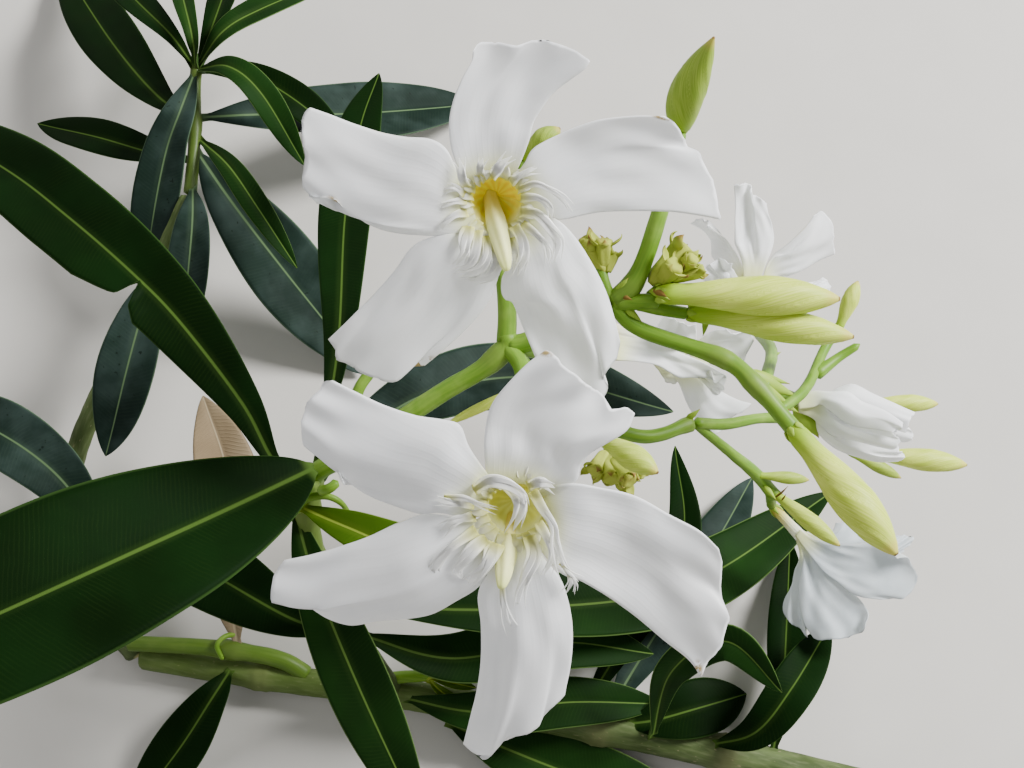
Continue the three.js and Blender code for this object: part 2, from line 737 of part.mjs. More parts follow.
// Older leaves of the side shoot.
addLeaf("leaf_left_wide", BLUE_LEAF, {
  along: [[196, 150, 30], [232, 200, 28], [285, 275, 16], [350, 400, 1.2]],
  width: 20,
});
addLeaf("leaf_left_narrow", MID_LEAF, {
  along: [[198, 136, 31], [232, 160, 38], [268, 210, 36], [298, 268, 28]],
  width: 8,
});
addLeaf("leaf_left_hanging", BLUE_LEAF, {
  along: [[136, 318, 24], [135, 340, 28], [122, 395, 26], [106, 456, 18]],
  width: 12,
});
addLeaf("leaf_left_low", BLUE_LEAF, {
  along: [[95, 560, 6], [70, 490, 18], [0, 433, 22], [-90, 400, 14]],
  width: 14,
});
addLeaf("leaf_left_far", DARK_LEAF, {
  along: [[190, 160, 29], [150, 152, 24], [95, 136, 20], [38, 124, 12]],
  width: 9,
});
addLeaf("leaf_left_across", BLUE_LEAF, {
  along: [[199, 116, 32], [260, 114, 30], [360, 112, 16], [470, 104, 1.2]],
  width: 15,
});
addLeaf("leaf_left_down", BLUE_LEAF, {
  along: [[190, 196, 30], [189, 235, 36], [186, 300, 32], [178, 380, 18]],
  width: 9,
});
addLeaf("leaf_dry", DRY_LEAF, {
  along: [[262, 646, 9], [262, 560, 17], [238, 470, 20], [203, 396, 22]],
  width: 14,
});
addLeaf("leaf_low_dark", DARK_LEAF, {
  along: [[342, 622, 36], [300, 622, 38], [216, 576, 34], [120, 520, 22]],
  width: 15,
});
addLeaf("leaf_low_left", DARK_LEAF, {
  along: [[240, 674, 5], [222, 700, 8], [185, 750, 6], [130, 815, 1.4]],
  width: 11,
});

// Each piece is cut clear of the earlier pieces that it touches, and keeps its largest part.
function boxesMeet(a, b) {
  return [0, 1, 2].every((i) => a.min[i] < b.max[i] && b.min[i] < a.max[i]);
}

const placed = [];
const group = new THREE.Group();
for (const { name, colour, roughness, make } of pieces) {
  let solid = make(0);
  for (const other of placed) {
    if (boxesMeet(solid.boundingBox(), other.box)) solid = solid.subtract(other.grown);
  }
  const bodies = solid.decompose().sort((a, b) => b.volume() - a.volume());
  solid = bodies[0];
  const grown = make(CLEARANCE);
  placed.push({ grown, box: grown.boundingBox() });
  const { vertProperties, triVerts } = solid.getMesh();
  const geometry = new THREE.BufferGeometry()
    .setAttribute("position", new THREE.BufferAttribute(vertProperties, 3))
    .setIndex(new THREE.BufferAttribute(triVerts, 1));
  geometry.computeVertexNormals();
  const material = new THREE.MeshStandardMaterial({ color: colour, roughness, metalness: 0 });
  const mesh = new THREE.Mesh(geometry, material);
  mesh.name = name;
  group.add(mesh);
}

export default group;
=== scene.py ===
import math

import bpy
import numpy as np
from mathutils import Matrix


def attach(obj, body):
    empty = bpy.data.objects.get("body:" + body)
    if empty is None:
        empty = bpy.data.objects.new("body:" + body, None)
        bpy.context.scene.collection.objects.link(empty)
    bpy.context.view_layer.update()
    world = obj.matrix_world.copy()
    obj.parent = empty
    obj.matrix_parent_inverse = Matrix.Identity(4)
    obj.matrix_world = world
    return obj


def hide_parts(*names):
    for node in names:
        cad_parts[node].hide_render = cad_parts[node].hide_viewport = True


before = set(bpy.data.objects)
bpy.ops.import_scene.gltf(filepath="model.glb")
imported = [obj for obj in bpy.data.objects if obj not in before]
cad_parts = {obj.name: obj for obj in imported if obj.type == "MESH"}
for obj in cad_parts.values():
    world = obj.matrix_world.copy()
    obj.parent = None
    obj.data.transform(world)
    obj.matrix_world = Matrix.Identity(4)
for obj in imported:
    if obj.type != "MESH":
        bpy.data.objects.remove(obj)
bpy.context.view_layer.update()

# The sight screen. The branch is looked down on by an eye 340 mm from the middle of the ground under
# it, and a place on it is (across, down, height): two measures on a tilted screen in front of that eye,
# and the height in millimetres over the ground. The camera stands at the eye.
SCREEN_WIDTH = 1024
EYE_ACROSS = 512
EYE_DOWN = 384
EYE_SCALE = 1500
EYE_DISTANCE = 340
LOOK_DOWN = math.radians(68)
MIDDLE_OF_BRANCH = np.array([-17.3, 6.8, 0.0])
SENSOR_WIDTH = 36
NEAREST_SEEN = 0.01
MM = 0.001

forward = np.array([0, math.cos(LOOK_DOWN), -math.sin(LOOK_DOWN)])
screen_up = np.array([0, math.sin(LOOK_DOWN), math.cos(LOOK_DOWN)])
screen_right = np.array([1.0, 0, 0])
eye = -forward * EYE_DISTANCE


def sight_through(across, down):
    """The sights through points of the screen: forward + (across to the right) + (down, upwards)."""
    right = np.outer((across - EYE_ACROSS) / EYE_SCALE, screen_right)
    return forward + right + np.outer((EYE_DOWN - down) / EYE_SCALE, screen_up)


def at(places):
    """Points in mm: eye + sight * (height - eye's height) / sight's fall, less the branch's middle."""
    across, down, height = np.atleast_2d(np.asarray(places, float)).T
    sight = sight_through(across, down)
    reach = (height - eye[2]) / sight[:, 2]
    return eye + sight * reach[:, None] - MIDDLE_OF_BRANCH


lens = bpy.data.cameras.new("camera")
lens.sensor_width = SENSOR_WIDTH
lens.lens = EYE_SCALE * SENSOR_WIDTH / SCREEN_WIDTH
lens.clip_start = NEAREST_SEEN
camera = bpy.data.objects.new("camera", lens)
camera.location = (eye - MIDDLE_OF_BRANCH) * MM
camera.rotation_euler = (math.radians(90) - LOOK_DOWN, 0, 0)
bpy.context.scene.collection.objects.link(camera)
bpy.context.scene.camera = camera


# The floor and the light. The branch lies on a plain pale board in the even light of three large soft
# lamps, the brightest of them high up on the right, and of a pale grey sky.
FLOOR_HALF = 4
LAMPS = {  # place and size in metres, power in watts
    "key": ((0.62, 0.22, 0.6), 0.32, 19.5),
    "fill": ((-0.6, -0.3, 0.6), 0.8, 1.6),
    "rim": ((-0.5, 0.7, 0.5), 0.6, 2.4),
}
LIT_POINT = np.array([0, 0, 0.05])
SKY_COLOUR = (0.41, 0.41, 0.41 * 1.03, 1)
EVEN_SCATTER = (1.0, 1.0, 1.0)
GLOW_DEPTH = 0.002


def tint(code):
    """Linear colour of a #rrggbb code: ((c + 0.055) / 1.055) ** 2.4 above 0.04045, else c / 12.92."""
    c = np.array([int(code[i : i + 2], 16) for i in (1, 3, 5)]) / 255
    linear = np.where(c > 0.04045, ((c + 0.055) / 1.055) ** 2.4, c / 12.92)
    return (*linear.tolist(), 1.0)


class Finish:
    """A procedural material. Each method adds nodes and gives back the output of the last one, and a
    colour is such an output or a #rrggbb code. Glow is the share of light that scatters under the surface."""

    def __init__(self, name, roughness, gloss=0.5, glow=0.0):
        self.material = bpy.data.materials.new(name)
        self.material.use_nodes = True
        self.nodes = self.material.node_tree.nodes
        self.links = self.material.node_tree.links
        self.inputs = self.nodes["Principled BSDF"].inputs
        self.inputs["Roughness"].default_value = roughness
        self.inputs["Specular IOR Level"].default_value = gloss
        self.inputs["Subsurface Weight"].default_value = glow
        self.inputs["Subsurface Scale"].default_value = GLOW_DEPTH
        self.inputs["Subsurface Radius"].default_value = EVEN_SCATTER

    def node(self, kind, settings, inputs, output=0):
        """One node. An input is linked where it is another node's output, and else set."""
        made = self.nodes.new(kind)
        for key, value in settings.items():
            setattr(made, key, value)
        for key, value in inputs.items():
            if isinstance(value, bpy.types.NodeSocket):
                self.links.new(value, made.inputs[key])
            else:
                made.inputs[key].default_value = tint(value) if isinstance(value, str) else value
        return made.outputs[output]

    def mark(self, name):
        """The three numbers of a mark that the mesh carries at each point."""
        vector = self.node("ShaderNodeAttribute", {"attribute_name": name}, {}, "Vector")
        split = self.node("ShaderNodeSeparateXYZ", {}, {0: vector}).node
        return split.outputs[0], split.outputs[1], split.outputs[2]

    def calc(self, operation, a, b=0.0, c=0.0):
        """Arithmetic on a, b and c; MULTIPLY_ADD is a * b + c."""
        return self.node("ShaderNodeMath", {"operation": operation}, {0: a, 1: b, 2: c})

    def times(self, a, b):
        """The product a * b."""
        return self.calc("MULTIPLY", a, b)

    def noise(self, scale, detail=2.0, where=None):
        """Cloudy noise at a point of the piece, or at the place on a flat pattern that is given."""
        vector = self.node("ShaderNodeTexCoord", {}, {}, "Object") if where is None else where
        return self.node("ShaderNodeTexNoise", {}, {"Vector": vector, "Scale": scale, "Detail": detail})

    def plane(self, x, x_scale, y, y_scale=1.0):
        """A place on a flat pattern: (x * x_scale, y * y_scale)."""
        return self.node("ShaderNodeCombineXYZ", {}, {0: self.times(x, x_scale), 1: self.times(y, y_scale)})

    def band(self, value, low, high):
        """0 below low, 1 above high, and a smooth step between. High may be under low."""
        settings = {"interpolation_type": "SMOOTHSTEP"}
        return self.node("ShaderNodeMapRange", settings, {0: value, 1: low, 2: high})

    def blend(self, share, first, second):
        """The first colour at a share of 0, the second at 1, and a mix between."""
        return self.node("ShaderNodeMix", {"data_type": "RGBA"}, {0: share, 6: first, 7: second}, 2)

    def wash(self, under, over, where, strength=1.0):
        """One colour laid over another, at a share of where * strength."""
        return self.blend(self.times(where, strength), under, over)

    def colour(self, socket):
        """The surface takes the colour that comes out of a node."""
        self.links.new(socket, self.inputs["Base Color"])

    def bump(self, height, depth_mm, strength=1.0):
        """Shading as if the surface stood height * depth_mm high."""
        inputs = {"Height": height, "Distance": depth_mm * MM, "Strength": strength}
        self.links.new(self.node("ShaderNodeBump", {}, inputs), self.inputs["Normal"])


pale = Finish("pale_board", 0.75)
grain = pale.noise(60, 4)
pale.colour(pale.blend(grain, "#bdbab3", "#c6c3bc"))
pale.bump(grain, 0.1, 0.3)
corners = [(x * FLOOR_HALF, y * FLOOR_HALF, 0) for x, y in ((-1, -1), (1, -1), (1, 1), (-1, 1))]
board = bpy.data.meshes.new("floor")
board.from_pydata(corners, [], [(0, 1, 2, 3)])
board.materials.append(pale.material)
floor = bpy.data.objects.new("floor", board)
bpy.context.scene.collection.objects.link(floor)

for name, (spot, size, power) in LAMPS.items():
    lamp = bpy.data.lights.new(name, "AREA")
    lamp.shape = "DISK"
    lamp.size = size
    lamp.energy = power
    light = bpy.data.objects.new(name, lamp)
    light.location = spot
    aim = LIT_POINT - np.array(spot)
    heading = math.atan2(aim[0], -aim[1])
    light.rotation_euler = (math.acos(-aim[2] / np.linalg.norm(aim)), 0, heading + math.pi)
    bpy.context.scene.collection.objects.link(light)

sky = bpy.data.worlds.new("sky")
sky.use_nodes = True
sky.node_tree.nodes["Background"].inputs[0].default_value = SKY_COLOUR
bpy.context.scene.world = sky


# The woody stems. A main stem lies on the ground from its cut foot and turns up into a leafy side
# shoot, and a flowering shoot rises out of it. Young bark, olive and grey-green, thin and smooth, with
# fine lengthwise wrinkles and a raised ring of leaf scars at each joint. They are one piece of growth.
MAIN_STEM_BEND = (139, 656, 3.6)
LEFT_JOINT = (190, 196, 29)
WOODY_STEMS = {  # places along the stem, radii of its ends, shares of its length at its joints, greenness
    "main_stem": (
        [
            (985, 818, 4.2), (700, 748, 4.2), (588, 726, 4.1), (400, 694, 4), (300, 681, 3.9), (220, 669, 3.7),
            MAIN_STEM_BEND,
        ],
        (3.9, 2.6), (0.3, 0.45, 0.7, 0.85), 0.45,
    ),
    "side_shoot": (
        [MAIN_STEM_BEND, (80, 580, 5), (72, 470, 12), (130, 330, 22), LEFT_JOINT],
        (2.5, 1.9), (0.35, 0.7), 0.2,
    ),
    "flowering_shoot": (
        [(392, 690, 5), (368, 655, 20), (345, 612, 40), (312, 545, 61), (308, 478, 77)],
        (2.3, 1.9), (0.5, 0.9), 1.0,
    ),
}
CURVE_SAMPLES = 600
SWELLING_REACH = 2.6
SCAR_RINGS = ((0.9, 0.45, 0.05), (-1.2, 0.4, 0.04))


def unit(vectors):
    """Vectors divided by their lengths."""
    return vectors / np.linalg.norm(vectors, axis=-1, keepdims=True)


def smooth_curve(points, count):
    """A Catmull-Rom curve: between two points p1, p2 with neighbours p0, p3 it is the cubic that leaves
    p1 along (p2 - p0) / 2 and meets p2 along (p3 - p1) / 2. It is read at even steps of its length."""
    points = np.asarray(points, float)
    padded = np.vstack([2 * points[0] - points[1], points, 2 * points[-1] - points[-2]])
    place = np.linspace(0, len(points) - 1, CURVE_SAMPLES)
    i = np.minimum(place.astype(int), len(points) - 2)
    f = (place - i)[:, None]
    before, start, end, after = (padded[i + k] for k in range(4))
    leave = (end - before) / 2
    arrive = (after - start) / 2
    fine = start + f * leave + f**2 * (3 * (end - start) - 2 * leave - arrive)
    fine += f**3 * (2 * (start - end) + leave + arrive)
    run = np.concatenate([[0], np.cumsum(np.linalg.norm(np.diff(fine, axis=0), axis=1))])
    even = np.linspace(0, run[-1], count)
    line = np.stack([np.interp(even, run, fine[:, k]) for k in range(fine.shape[1])], 1)
    return line, unit(np.gradient(line, axis=0)), run[-1]


def ripple(a, b, seed, waves=7):
    """Smooth unevenness of about +-1: a sum of sine waves of a and b with seeded directions."""
    rng = np.random.default_rng(seed)
    turns = rng.uniform(-1, 1, (waves, 2))
    phases = rng.uniform(0, 2 * math.pi, waves)
    total = sum(np.sin(ka * a + kb * b + p) for (ka, kb), p in zip(turns * 2 * math.pi, phases))
    return total / math.sqrt(waves)


def skin(name, patches, finish):
    """One mesh over closed patches. A patch is (points, marks). points[row, column] holds a ring for
    each row, quads join each ring to the next, and a flat face closes each end. It is turned inside out
    where the sum of a . (b x c) over its quads is negative. marks[label][row, column] are three numbers
    that each point carries for its material."""
    vertices, corners, sizes = [], [], []
    labels = list(patches[0][1])
    marked = {label: [] for label in labels}
    first = 0
    for points, marks in patches:
        rows, around = points.shape[:2]
        index = first + np.arange(rows * around).reshape(rows, around)
        turned = np.roll(index, -1, axis=1)
        quads = np.stack([index[:-1], turned[:-1], turned[1:], index[1:]], -1).reshape(-1, 4)
        flat = points.reshape(-1, 3)
        a, b, c, d = (flat[quads[:, k] - first] for k in range(4))
        volume = np.sum(a * np.cross(b, c)) + np.sum(a * np.cross(c, d))
        ends = [index[0][::-1], index[-1]]
        if volume < 0:
            quads = quads[:, ::-1]
            ends = [end[::-1] for end in ends]
        vertices.append(flat)
        corners += [quads.ravel(), *ends]
        sizes += [np.full(len(quads), 4), np.array([around, around])]
        for label in labels:
            marked[label].append(marks[label].reshape(-1, 3))
        first += rows * around
    vertices = np.concatenate(vertices) * MM
    corners = np.concatenate(corners)
    sizes = np.concatenate(sizes)
    mesh = bpy.data.meshes.new(name)
    mesh.vertices.add(len(vertices))
    mesh.vertices.foreach_set("co", vertices.ravel())
    mesh.loops.add(len(corners))
    mesh.loops.foreach_set("vertex_index", corners)
    mesh.polygons.add(len(sizes))
    mesh.polygons.foreach_set("loop_start", np.cumsum(sizes) - sizes)
    mesh.update(calc_edges=True)
    mesh.validate()
    mesh.polygons.foreach_set("use_smooth", np.ones(len(mesh.polygons), bool))
    for label in labels:
        layer = mesh.attributes.new(label, "FLOAT_VECTOR", "POINT")
        layer.data.foreach_set("vector", np.concatenate(marked[label]).ravel())
    mesh.materials.append(finish.material)
    piece = bpy.data.objects.new(name, mesh)
    bpy.context.scene.collection.objects.link(piece)
    return piece


def settle(piece, node):
    """The piece rides on the branch's one body and is seen in place of the node's solid."""
    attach(piece, "root")
    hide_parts(node)


def three(*values):
    """Three arrays or numbers as one array of triples, all the same shape."""
    return np.stack(np.broadcast_arrays(*values), -1).astype(float)


def full_turn(count):
    """Angles at even steps round a full turn."""
    return np.linspace(0, 2 * math.pi, count, endpoint=False)


def spokes(angle, side, lift):
    """Directions round an axis: side * cos(angle) + lift * sin(angle)."""
    return np.cos(angle)[..., None] * side + np.sin(angle)[..., None] * lift


def limb(points, radii, joints=(), swelling=0.18, relief=0.0, around=20, step=0.8, seed=1, tone=0.0):
    """A round limb along a smooth curve: its tapered radius is times 1 + swelling * exp(-(d / 2.6)^2) at
    a distance d mm from each joint, where two thin scar rings stand, and relief * long, narrow ripples
    are added. Its ends are rounded off over their last half radius."""
    _, _, length = smooth_curve(points, 2)
    rows = max(8, int(length / step))
    line, tangent, _ = smooth_curve(points, rows)
    reference = np.eye(3)[np.argmin(np.abs(tangent).max(axis=0))]
    side = unit(np.cross(reference, tangent))
    lift = np.cross(tangent, side)
    t = np.linspace(0, 1, rows)
    angle = full_turn(around)
    radius = radii[0] + (radii[1] - radii[0]) * t
    ringing = np.zeros(rows)
    for joint in joints:
        away = (t - joint) * length
        ringing += swelling * np.exp(-((away / SWELLING_REACH) ** 2))
        ringing += sum(rise * np.exp(-(((away - place) / wide) ** 2)) for place, wide, rise in SCAR_RINGS)
    from_end = np.minimum(t, 1 - t) * length
    rounding = np.sqrt(np.clip(1 - (1 - np.minimum(1, from_end / (radius * 0.5))) ** 2, 0.03, 1))
    thick = (radius * (1 + ringing) * rounding)[:, None]
    along = (t * length)[:, None]
    wrinkle = ripple(angle * 2.2, along * 0.16, seed) + 0.6 * ripple(angle * 5.1, along * 0.33, seed + 1)
    thick = thick + relief * wrinkle * rounding[:, None]
    surface = line[:, None] + thick[..., None] * spokes(angle, side[:, None], lift[:, None])
    near = np.clip(ringing / swelling, 0, 1)[:, None] if joints else 0.0
    marks = {
        "run": three(along, angle[None] * radius[:, None], near),
        "stem": three(t[:, None], np.full((1, around), tone), from_end[:, None]),
    }
    return surface, marks


bark = Finish("young_bark", 0.62, 0.2)
along, around_stem, near_joint = bark.mark("run")
share, greener, from_end = bark.mark("stem")
wide = bark.noise(2.2, 3, bark.plane(along, 0.05, around_stem, 0.16))
fine = bark.noise(1.6, 4, bark.plane(along, 0.18, around_stem))
pores = bark.noise(1.1, 1, bark.plane(along, 0.55, around_stem))
green = bark.blend(bark.band(wide, 0.35, 0.68), "#3c4a25", "#55643a")
green = bark.wash(green, "#737b56", bark.band(fine, 0.45, 0.75), 0.4)
green = bark.wash(green, "#8a8262", bark.band(pores, 0.68, 0.74), 0.6)
green = bark.wash(green, "#6b6a48", near_joint, 0.5)
green = bark.wash(green, "#66802f", bark.times(greener, bark.band(share, 0.25, 0.85)), 0.75)
bark.colour(bark.wash(green, "#b9b383", bark.band(from_end, 0.35, 0.05)))
bark.bump(bark.calc("ADD", fine, bark.times(pores, 0.5)), 0.12, 0.5)

for name, (places, radii, joints, greenness) in WOODY_STEMS.items():
    patch = limb(at(places), radii, joints, relief=0.055, around=28, step=0.6, tone=greenness)
    settle(skin(f"{name}_bark", [patch], bark), name)


# The green stalks. This year's growth: smooth, sappy, bright yellow-green, slightly waxed, faintly
# ridged, swollen where they fork. They carry the blooms and buds, and a green twig lies by the stem.
STALK_FORK = (506, 346, 92)
SPRAY_KNOT = (612, 303, 100)
LOWER_SPRAY_FORK = (694, 423, 76)
FADING_JOINT = (770, 490, 54)
TWIG_AGE = 0.6
BLOOMS = {
    "bloom_upper": {"heart": (497, 205, 128), "lean": 25, "lean_to": 85, "tube": 24},
    "bloom_lower": {"heart": (515, 512, 126), "lean": 20, "lean_to": 95, "tube": 24},
    "bloom_behind": {"heart": (752, 284, 62), "lean": 82, "lean_to": 262, "tube": 9},
    "bloom_side": {"heart": (688, 354, 64), "lean": 80, "lean_to": 16, "tube": 20},
    "bloom_fading": {"heart": (806, 542, 26), "lean": 74, "lean_to": 48, "tube": 10},
}
GREEN_STALKS = {  # for each limb the places along it, the radii of its ends and its joints
    "side_twig": [([(309, 676, 5), (278, 659, 7.6), (212, 648, 8.6), (126, 643, 8)], (1.85, 1.6), (0.45,))],
    "flower_stalk": [
        (
            [
                (312, 492, 69), (316, 473, 76), (356, 450, 80), (405, 417, 84), (445, 391, 87), (485, 367, 90),
                STALK_FORK, (507, 330, 93.6),
            ],
            (1.7, 1.5), (0.07, 0.9),
        ),
    ],
    "stalk_upper_bloom": [
        ([STALK_FORK, (507, 305, 95), (500, 240, 100), "bloom_upper"], (1.6, 1.2)),
        ([(502, 250, 99), (515, 200, 101), (523, 158, 104)], (1.0, 0.9)),
    ],
    "stalk_lower_bloom": [([STALK_FORK, (522, 368, 93), (524, 405, 96), "bloom_lower"], (1.4, 1.2))],
    "upper_spray": [
        ([STALK_FORK, (530, 341, 93), (575, 318, 97), SPRAY_KNOT], (1.7, 1.5), (0.99,)),
        ([SPRAY_KNOT, (637, 277, 103), (661, 208, 110), (680, 130, 112)], (1.5, 1.2), (0.12,)),
        ([SPRAY_KNOT, (636, 302, 101), (662, 300, 102)], (1.4, 1.2)),
        ([(634, 303, 101), (660, 309, 100), (690, 314, 99)], (1.1, 1.0)),
        ([SPRAY_KNOT, (604, 282, 102), (600, 264, 103)], (1.0, 0.9)),
        ([(646, 300, 101), (664, 285, 102.5), (678, 270, 103)], (1.0, 0.9)),
    ],
    "long_stalk": [
        (
            [SPRAY_KNOT, (640, 329, 98), (722, 358, 98), (755, 385, 98), (790, 425, 96), (799, 436, 95.8)],
            (1.25, 1.35), (0.53, 0.72),
        ),
    ],
    "lower_spray": [
        ([STALK_FORK, (560, 400, 86), (638, 436, 80), LOWER_SPRAY_FORK], (1.4, 1.1), (0.98,)),
        ([LOWER_SPRAY_FORK, (725, 448, 68), (755, 473, 58), FADING_JOINT, (778, 499, 54)], (0.72, 1.3)),
        ([FADING_JOINT, "bloom_fading"], (1.0, 1.0)),
        ([(598, 416, 83), (606, 440, 86), (614, 468, 86)], (0.9, 0.8)),
        ([(584, 410, 84), (590, 424, 89), (602, 441, 92)], (1.0, 0.9)),
        ([(812, 424, 59), (838, 416, 58), (868, 403, 58)], (0.8, 0.7)),
        ([LOWER_SPRAY_FORK, (726, 424, 72), (768, 418, 66), (820, 425, 58), (868, 452, 52)], (1.0, 0.9)),
    ],
    "stalk_bloom_behind": [([(764, 388, 97.5), (768, 372, 93), (771, 350, 80), "bloom_behind"], (1.0, 1.1))],
    "stalk_bloom_side": [([STALK_FORK, (545, 350, 80), "bloom_side"], (1.3, 1.1))],
    "stalk_bloom_opening": [([(758, 388, 98), (776, 392, 93), (797, 399, 86)], (1.0, 1.0))],
    "stalk_thin_bud": [
        ([(779, 411, 95.6), (806, 388, 92), (824, 350, 88), (838, 329, 88)], (0.9, 0.8)),
        ([(814, 376, 90), (838, 358, 89), (860, 344, 90)], (1.1, 0.6)),
    ],
}


def on_screen(degrees):
    """A direction on the sight screen, in degrees clockwise from the right."""
    angle = math.radians(degrees)
    return screen_right * math.cos(angle) - screen_up * math.sin(angle)


def bloom_axis(bloom):
    """The direction out of a bloom's throat: it leans from the eye towards lean_to."""
    angle = math.radians(bloom["lean"])
    return -forward * math.cos(angle) + on_screen(bloom["lean_to"]) * math.sin(angle)


def bloom_foot(bloom):
    """The heart, less the axis times the length of the tube."""
    return at(bloom["heart"])[0] - bloom_axis(bloom) * bloom["tube"]


def route(places):
    """Points in mm. A route whose last place is the name of a bloom ends at that bloom's foot."""
    if isinstance(places[-1], str):
        return np.vstack([at(places[:-1]), bloom_foot(BLOOMS[places[-1]])])
    return at(places)


sap_green = Finish("green_stalk", 0.45, 0.22, 0.12)
along, around_stem, near_joint = sap_green.mark("run")
_, older, _ = sap_green.mark("stem")
streak = sap_green.noise(2.0, 3, sap_green.plane(along, 0.06, around_stem, 0.9))
green = sap_green.blend(sap_green.band(streak, 0.3, 0.7), "#5c8520", "#70942b")
green = sap_green.wash(green, "#94ad52", sap_green.band(sap_green.noise(260, 3), 0.45, 0.8), 0.4)
green = sap_green.wash(green, "#6d8136", near_joint, 0.5)
sap_green.colour(sap_green.blend(older, green, "#41521f"))
sap_green.bump(streak, 0.05, 0.5)

for name, limbs in GREEN_STALKS.items():
    age = TWIG_AGE if name == "side_twig" else 0.0
    form = {"swelling": 0.24, "relief": 0.025, "around": 18, "step": 0.7, "tone": age}
    patches = [limb(route(places), *rest, seed=len(name) + i, **form) for i, (places, *rest) in enumerate(limbs)]
    settle(skin(f"{name}_green", patches, sap_green), name)


# The leaves. Leathery lance-shaped blades, dark green above with a pale raised midrib and close, fine
# side veins, paler below, on a short flat foot. They grow in threes from the joints. The dark ones are
# partly their own deep green and partly painted shade; the blue-green ones carry a painted sky sheen and
# some dust; the newest ones are yellow-green, and one is withered and tan.
LEAVES = {  # kind, places along the midrib, width in mm and, if need be, roll and belly
    "leaf_near": ("dark", [(315, 468, 78), (154, 541, 92), (-80, 646, 102), (-300, 734, 100)], 27.5, 0, 1.0),
    "leaf_arching": (
        "dark",
        [
            (298, 480, 77.5), (272, 458, 79), (242, 403, 80), (181, 323, 81), (135, 275, 82), (69, 217, 80),
            (0, 165, 76), (-110, 105, 66),
        ],
        15.6,
    ),
    "leaf_upright": (
        "dark",
        [(318, 468, 76), (338, 345, 70), (345, 215, 60), (360, 127, 54), (379, 74, 48)],
        10.4, 0, 1.6,
    ),
    "leaf_hanging_front": ("mid", [(294, 506, 70), (315, 580, 62), (360, 690, 48), (425, 830, 30)], 11.5, 0, 1.1),
    "leaf_young": ("young", [(296, 505, 74), (347, 527, 76), (408, 550, 76), (500, 567, 70)], 8),
    "leaf_behind_stalk": (
        "blue",
        [(321, 478, 73), (345, 447, 69), (428, 393, 66), (540, 377, 58), (673, 412, 50)],
        13.5,
    ),
    "leaf_wide_right": ("mid", [(350, 606, 40), (520, 608, 30), (690, 583, 16), (832, 492, 1.2)], 15),
    "leaf_short_right": ("mid", [(358, 634, 31), (450, 658, 24), (560, 642, 20), (653, 654, 14)], 12),
    "leaf_low_front": ("mid", [(402, 698, 6), (480, 712, 12), (570, 702, 12), (662, 704, 6)], 10.5),
    "leaf_thin_right": ("mid", [(652, 738, 7.5), (672, 672, 26), (727, 642, 34), (782, 692, 28)], 8, 35),
    "leaf_dark_right": ("dark", [(626, 724, 6.5), (655, 720, 8), (698, 708, 8), (746, 694, 4)], 12),
    "leaf_curved_right": ("dark", [(712, 745, 7), (756, 732, 16), (792, 688, 20), (830, 625, 14)], 9),
    "leaf_stem_right": ("dark", [(772, 758, 5), (782, 700, 8), (787, 620, 6), (790, 540, 1.2)], 8),
    "leaf_up_behind": ("dark", [(580, 714, 6.5), (625, 640, 12), (682, 540, 12), (675, 446, 15)], 8),
    "leaf_up_tilted": ("blue", [(606, 716, 5), (652, 640, 4.5), (714, 545, 4.5), (752, 478, 1.2)], 12),
    "leaf_bottom": ("mid", [(446, 722, 2.4), (505, 748, 4), (590, 780, 3.6), (690, 806, 1.4)], 15),
    "leaf_left_wide": (
        "blue",
        [(196, 150, 30), (232, 202, 28), (286, 272, 16), (335, 334, 6), (362, 374, 1.4)],
        17.5,
    ),
    "leaf_left_narrow": ("mid", [(198, 138, 31), (228, 165, 37), (258, 208, 36), (297, 268, 28)], 5.6),
    "leaf_left_hanging": ("blue", [(156, 270, 26), (142, 312, 30), (124, 378, 28), (106, 456, 18)], 12.6),
    "leaf_left_low": ("blue", [(95, 560, 6), (70, 490, 18), (0, 433, 22), (-90, 400, 14)], 14),
    "leaf_left_far": ("dark", [(190, 160, 29), (150, 152, 24), (95, 136, 20), (38, 124, 12)], 9),
    "leaf_left_across": ("blue", [(199, 118, 32), (260, 114, 30), (360, 112, 16), (480, 104, 1.4)], 16),
    "leaf_left_down": ("blue", [(193, 186, 30), (192, 225, 35), (187, 280, 32), (181, 346, 20)], 9),
    "leaf_dry": ("dry", [(238, 648, 9), (228, 580, 15), (228, 480, 20), (203, 396, 22)], 13.5),
    "leaf_low_dark": ("dark", [(342, 622, 36), (300, 622, 38), (216, 576, 34), (120, 520, 22)], 15),
    "leaf_low_left": ("dark", [(232, 668, 6), (212, 698, 9), (178, 750, 6), (128, 815, 1.4)], 11),
}
LEAF_KINDS = {  # slot, finish: name, blade, its deeper clouds, rib, underside, edge, roughness, gloss, dust and painted sheen, veins
    # The dark kind is the green made darker: partly the leaves' own deep green, partly painted shade.
    "dark": ("leaf_dark", "dark_leaf", "#0a1f07", "#071604", "#425a24", "#34502a", "#304820", 0.55, 0.02),
    "mid": ("leaf_green", "green_leaf", "#15300d", "#0e2209", "#506a2e", "#3f5c30", "#5d783f", 0.55, 0.03),
    # The blue kind's blue-grey blade colours are a painted sky sheen laid over green.
    "blue": (
        "leaf_blue_green", "blue_green_leaf", "#1a2922", "#101d17", "#566c4a", "#3f5944", "#4f654c", 0.55, 0.05, 0.13,
    ),
    "young": ("leaf_young", "young_leaf", "#41600c", "#304c08", "#8a9c38", "#5d7a2a", "#7d9436", 0.5, 0.08),
    "dry": (
        "leaf_dry", "withered_leaf", "#8f8066", "#75654d", "#9d8f74", "#7d6f57", "#5d503f", 0.75, 0.1, 0.0, 0.06,
    ),
}
UP = np.array([0, 0, 1.0])
BLADE_COLUMNS = 17
BLADE_THICKNESS = 0.42
BLADE_FOLD = math.tan(math.radians(12))
GROOVE_DEPTH = 0.22
GROOVE_WIDTH = 0.45
EDGE_CURL = 0.05
RIB_HEIGHT = 0.75
FINEST_STEP = 0.35
VEIN_STEP = 0.8
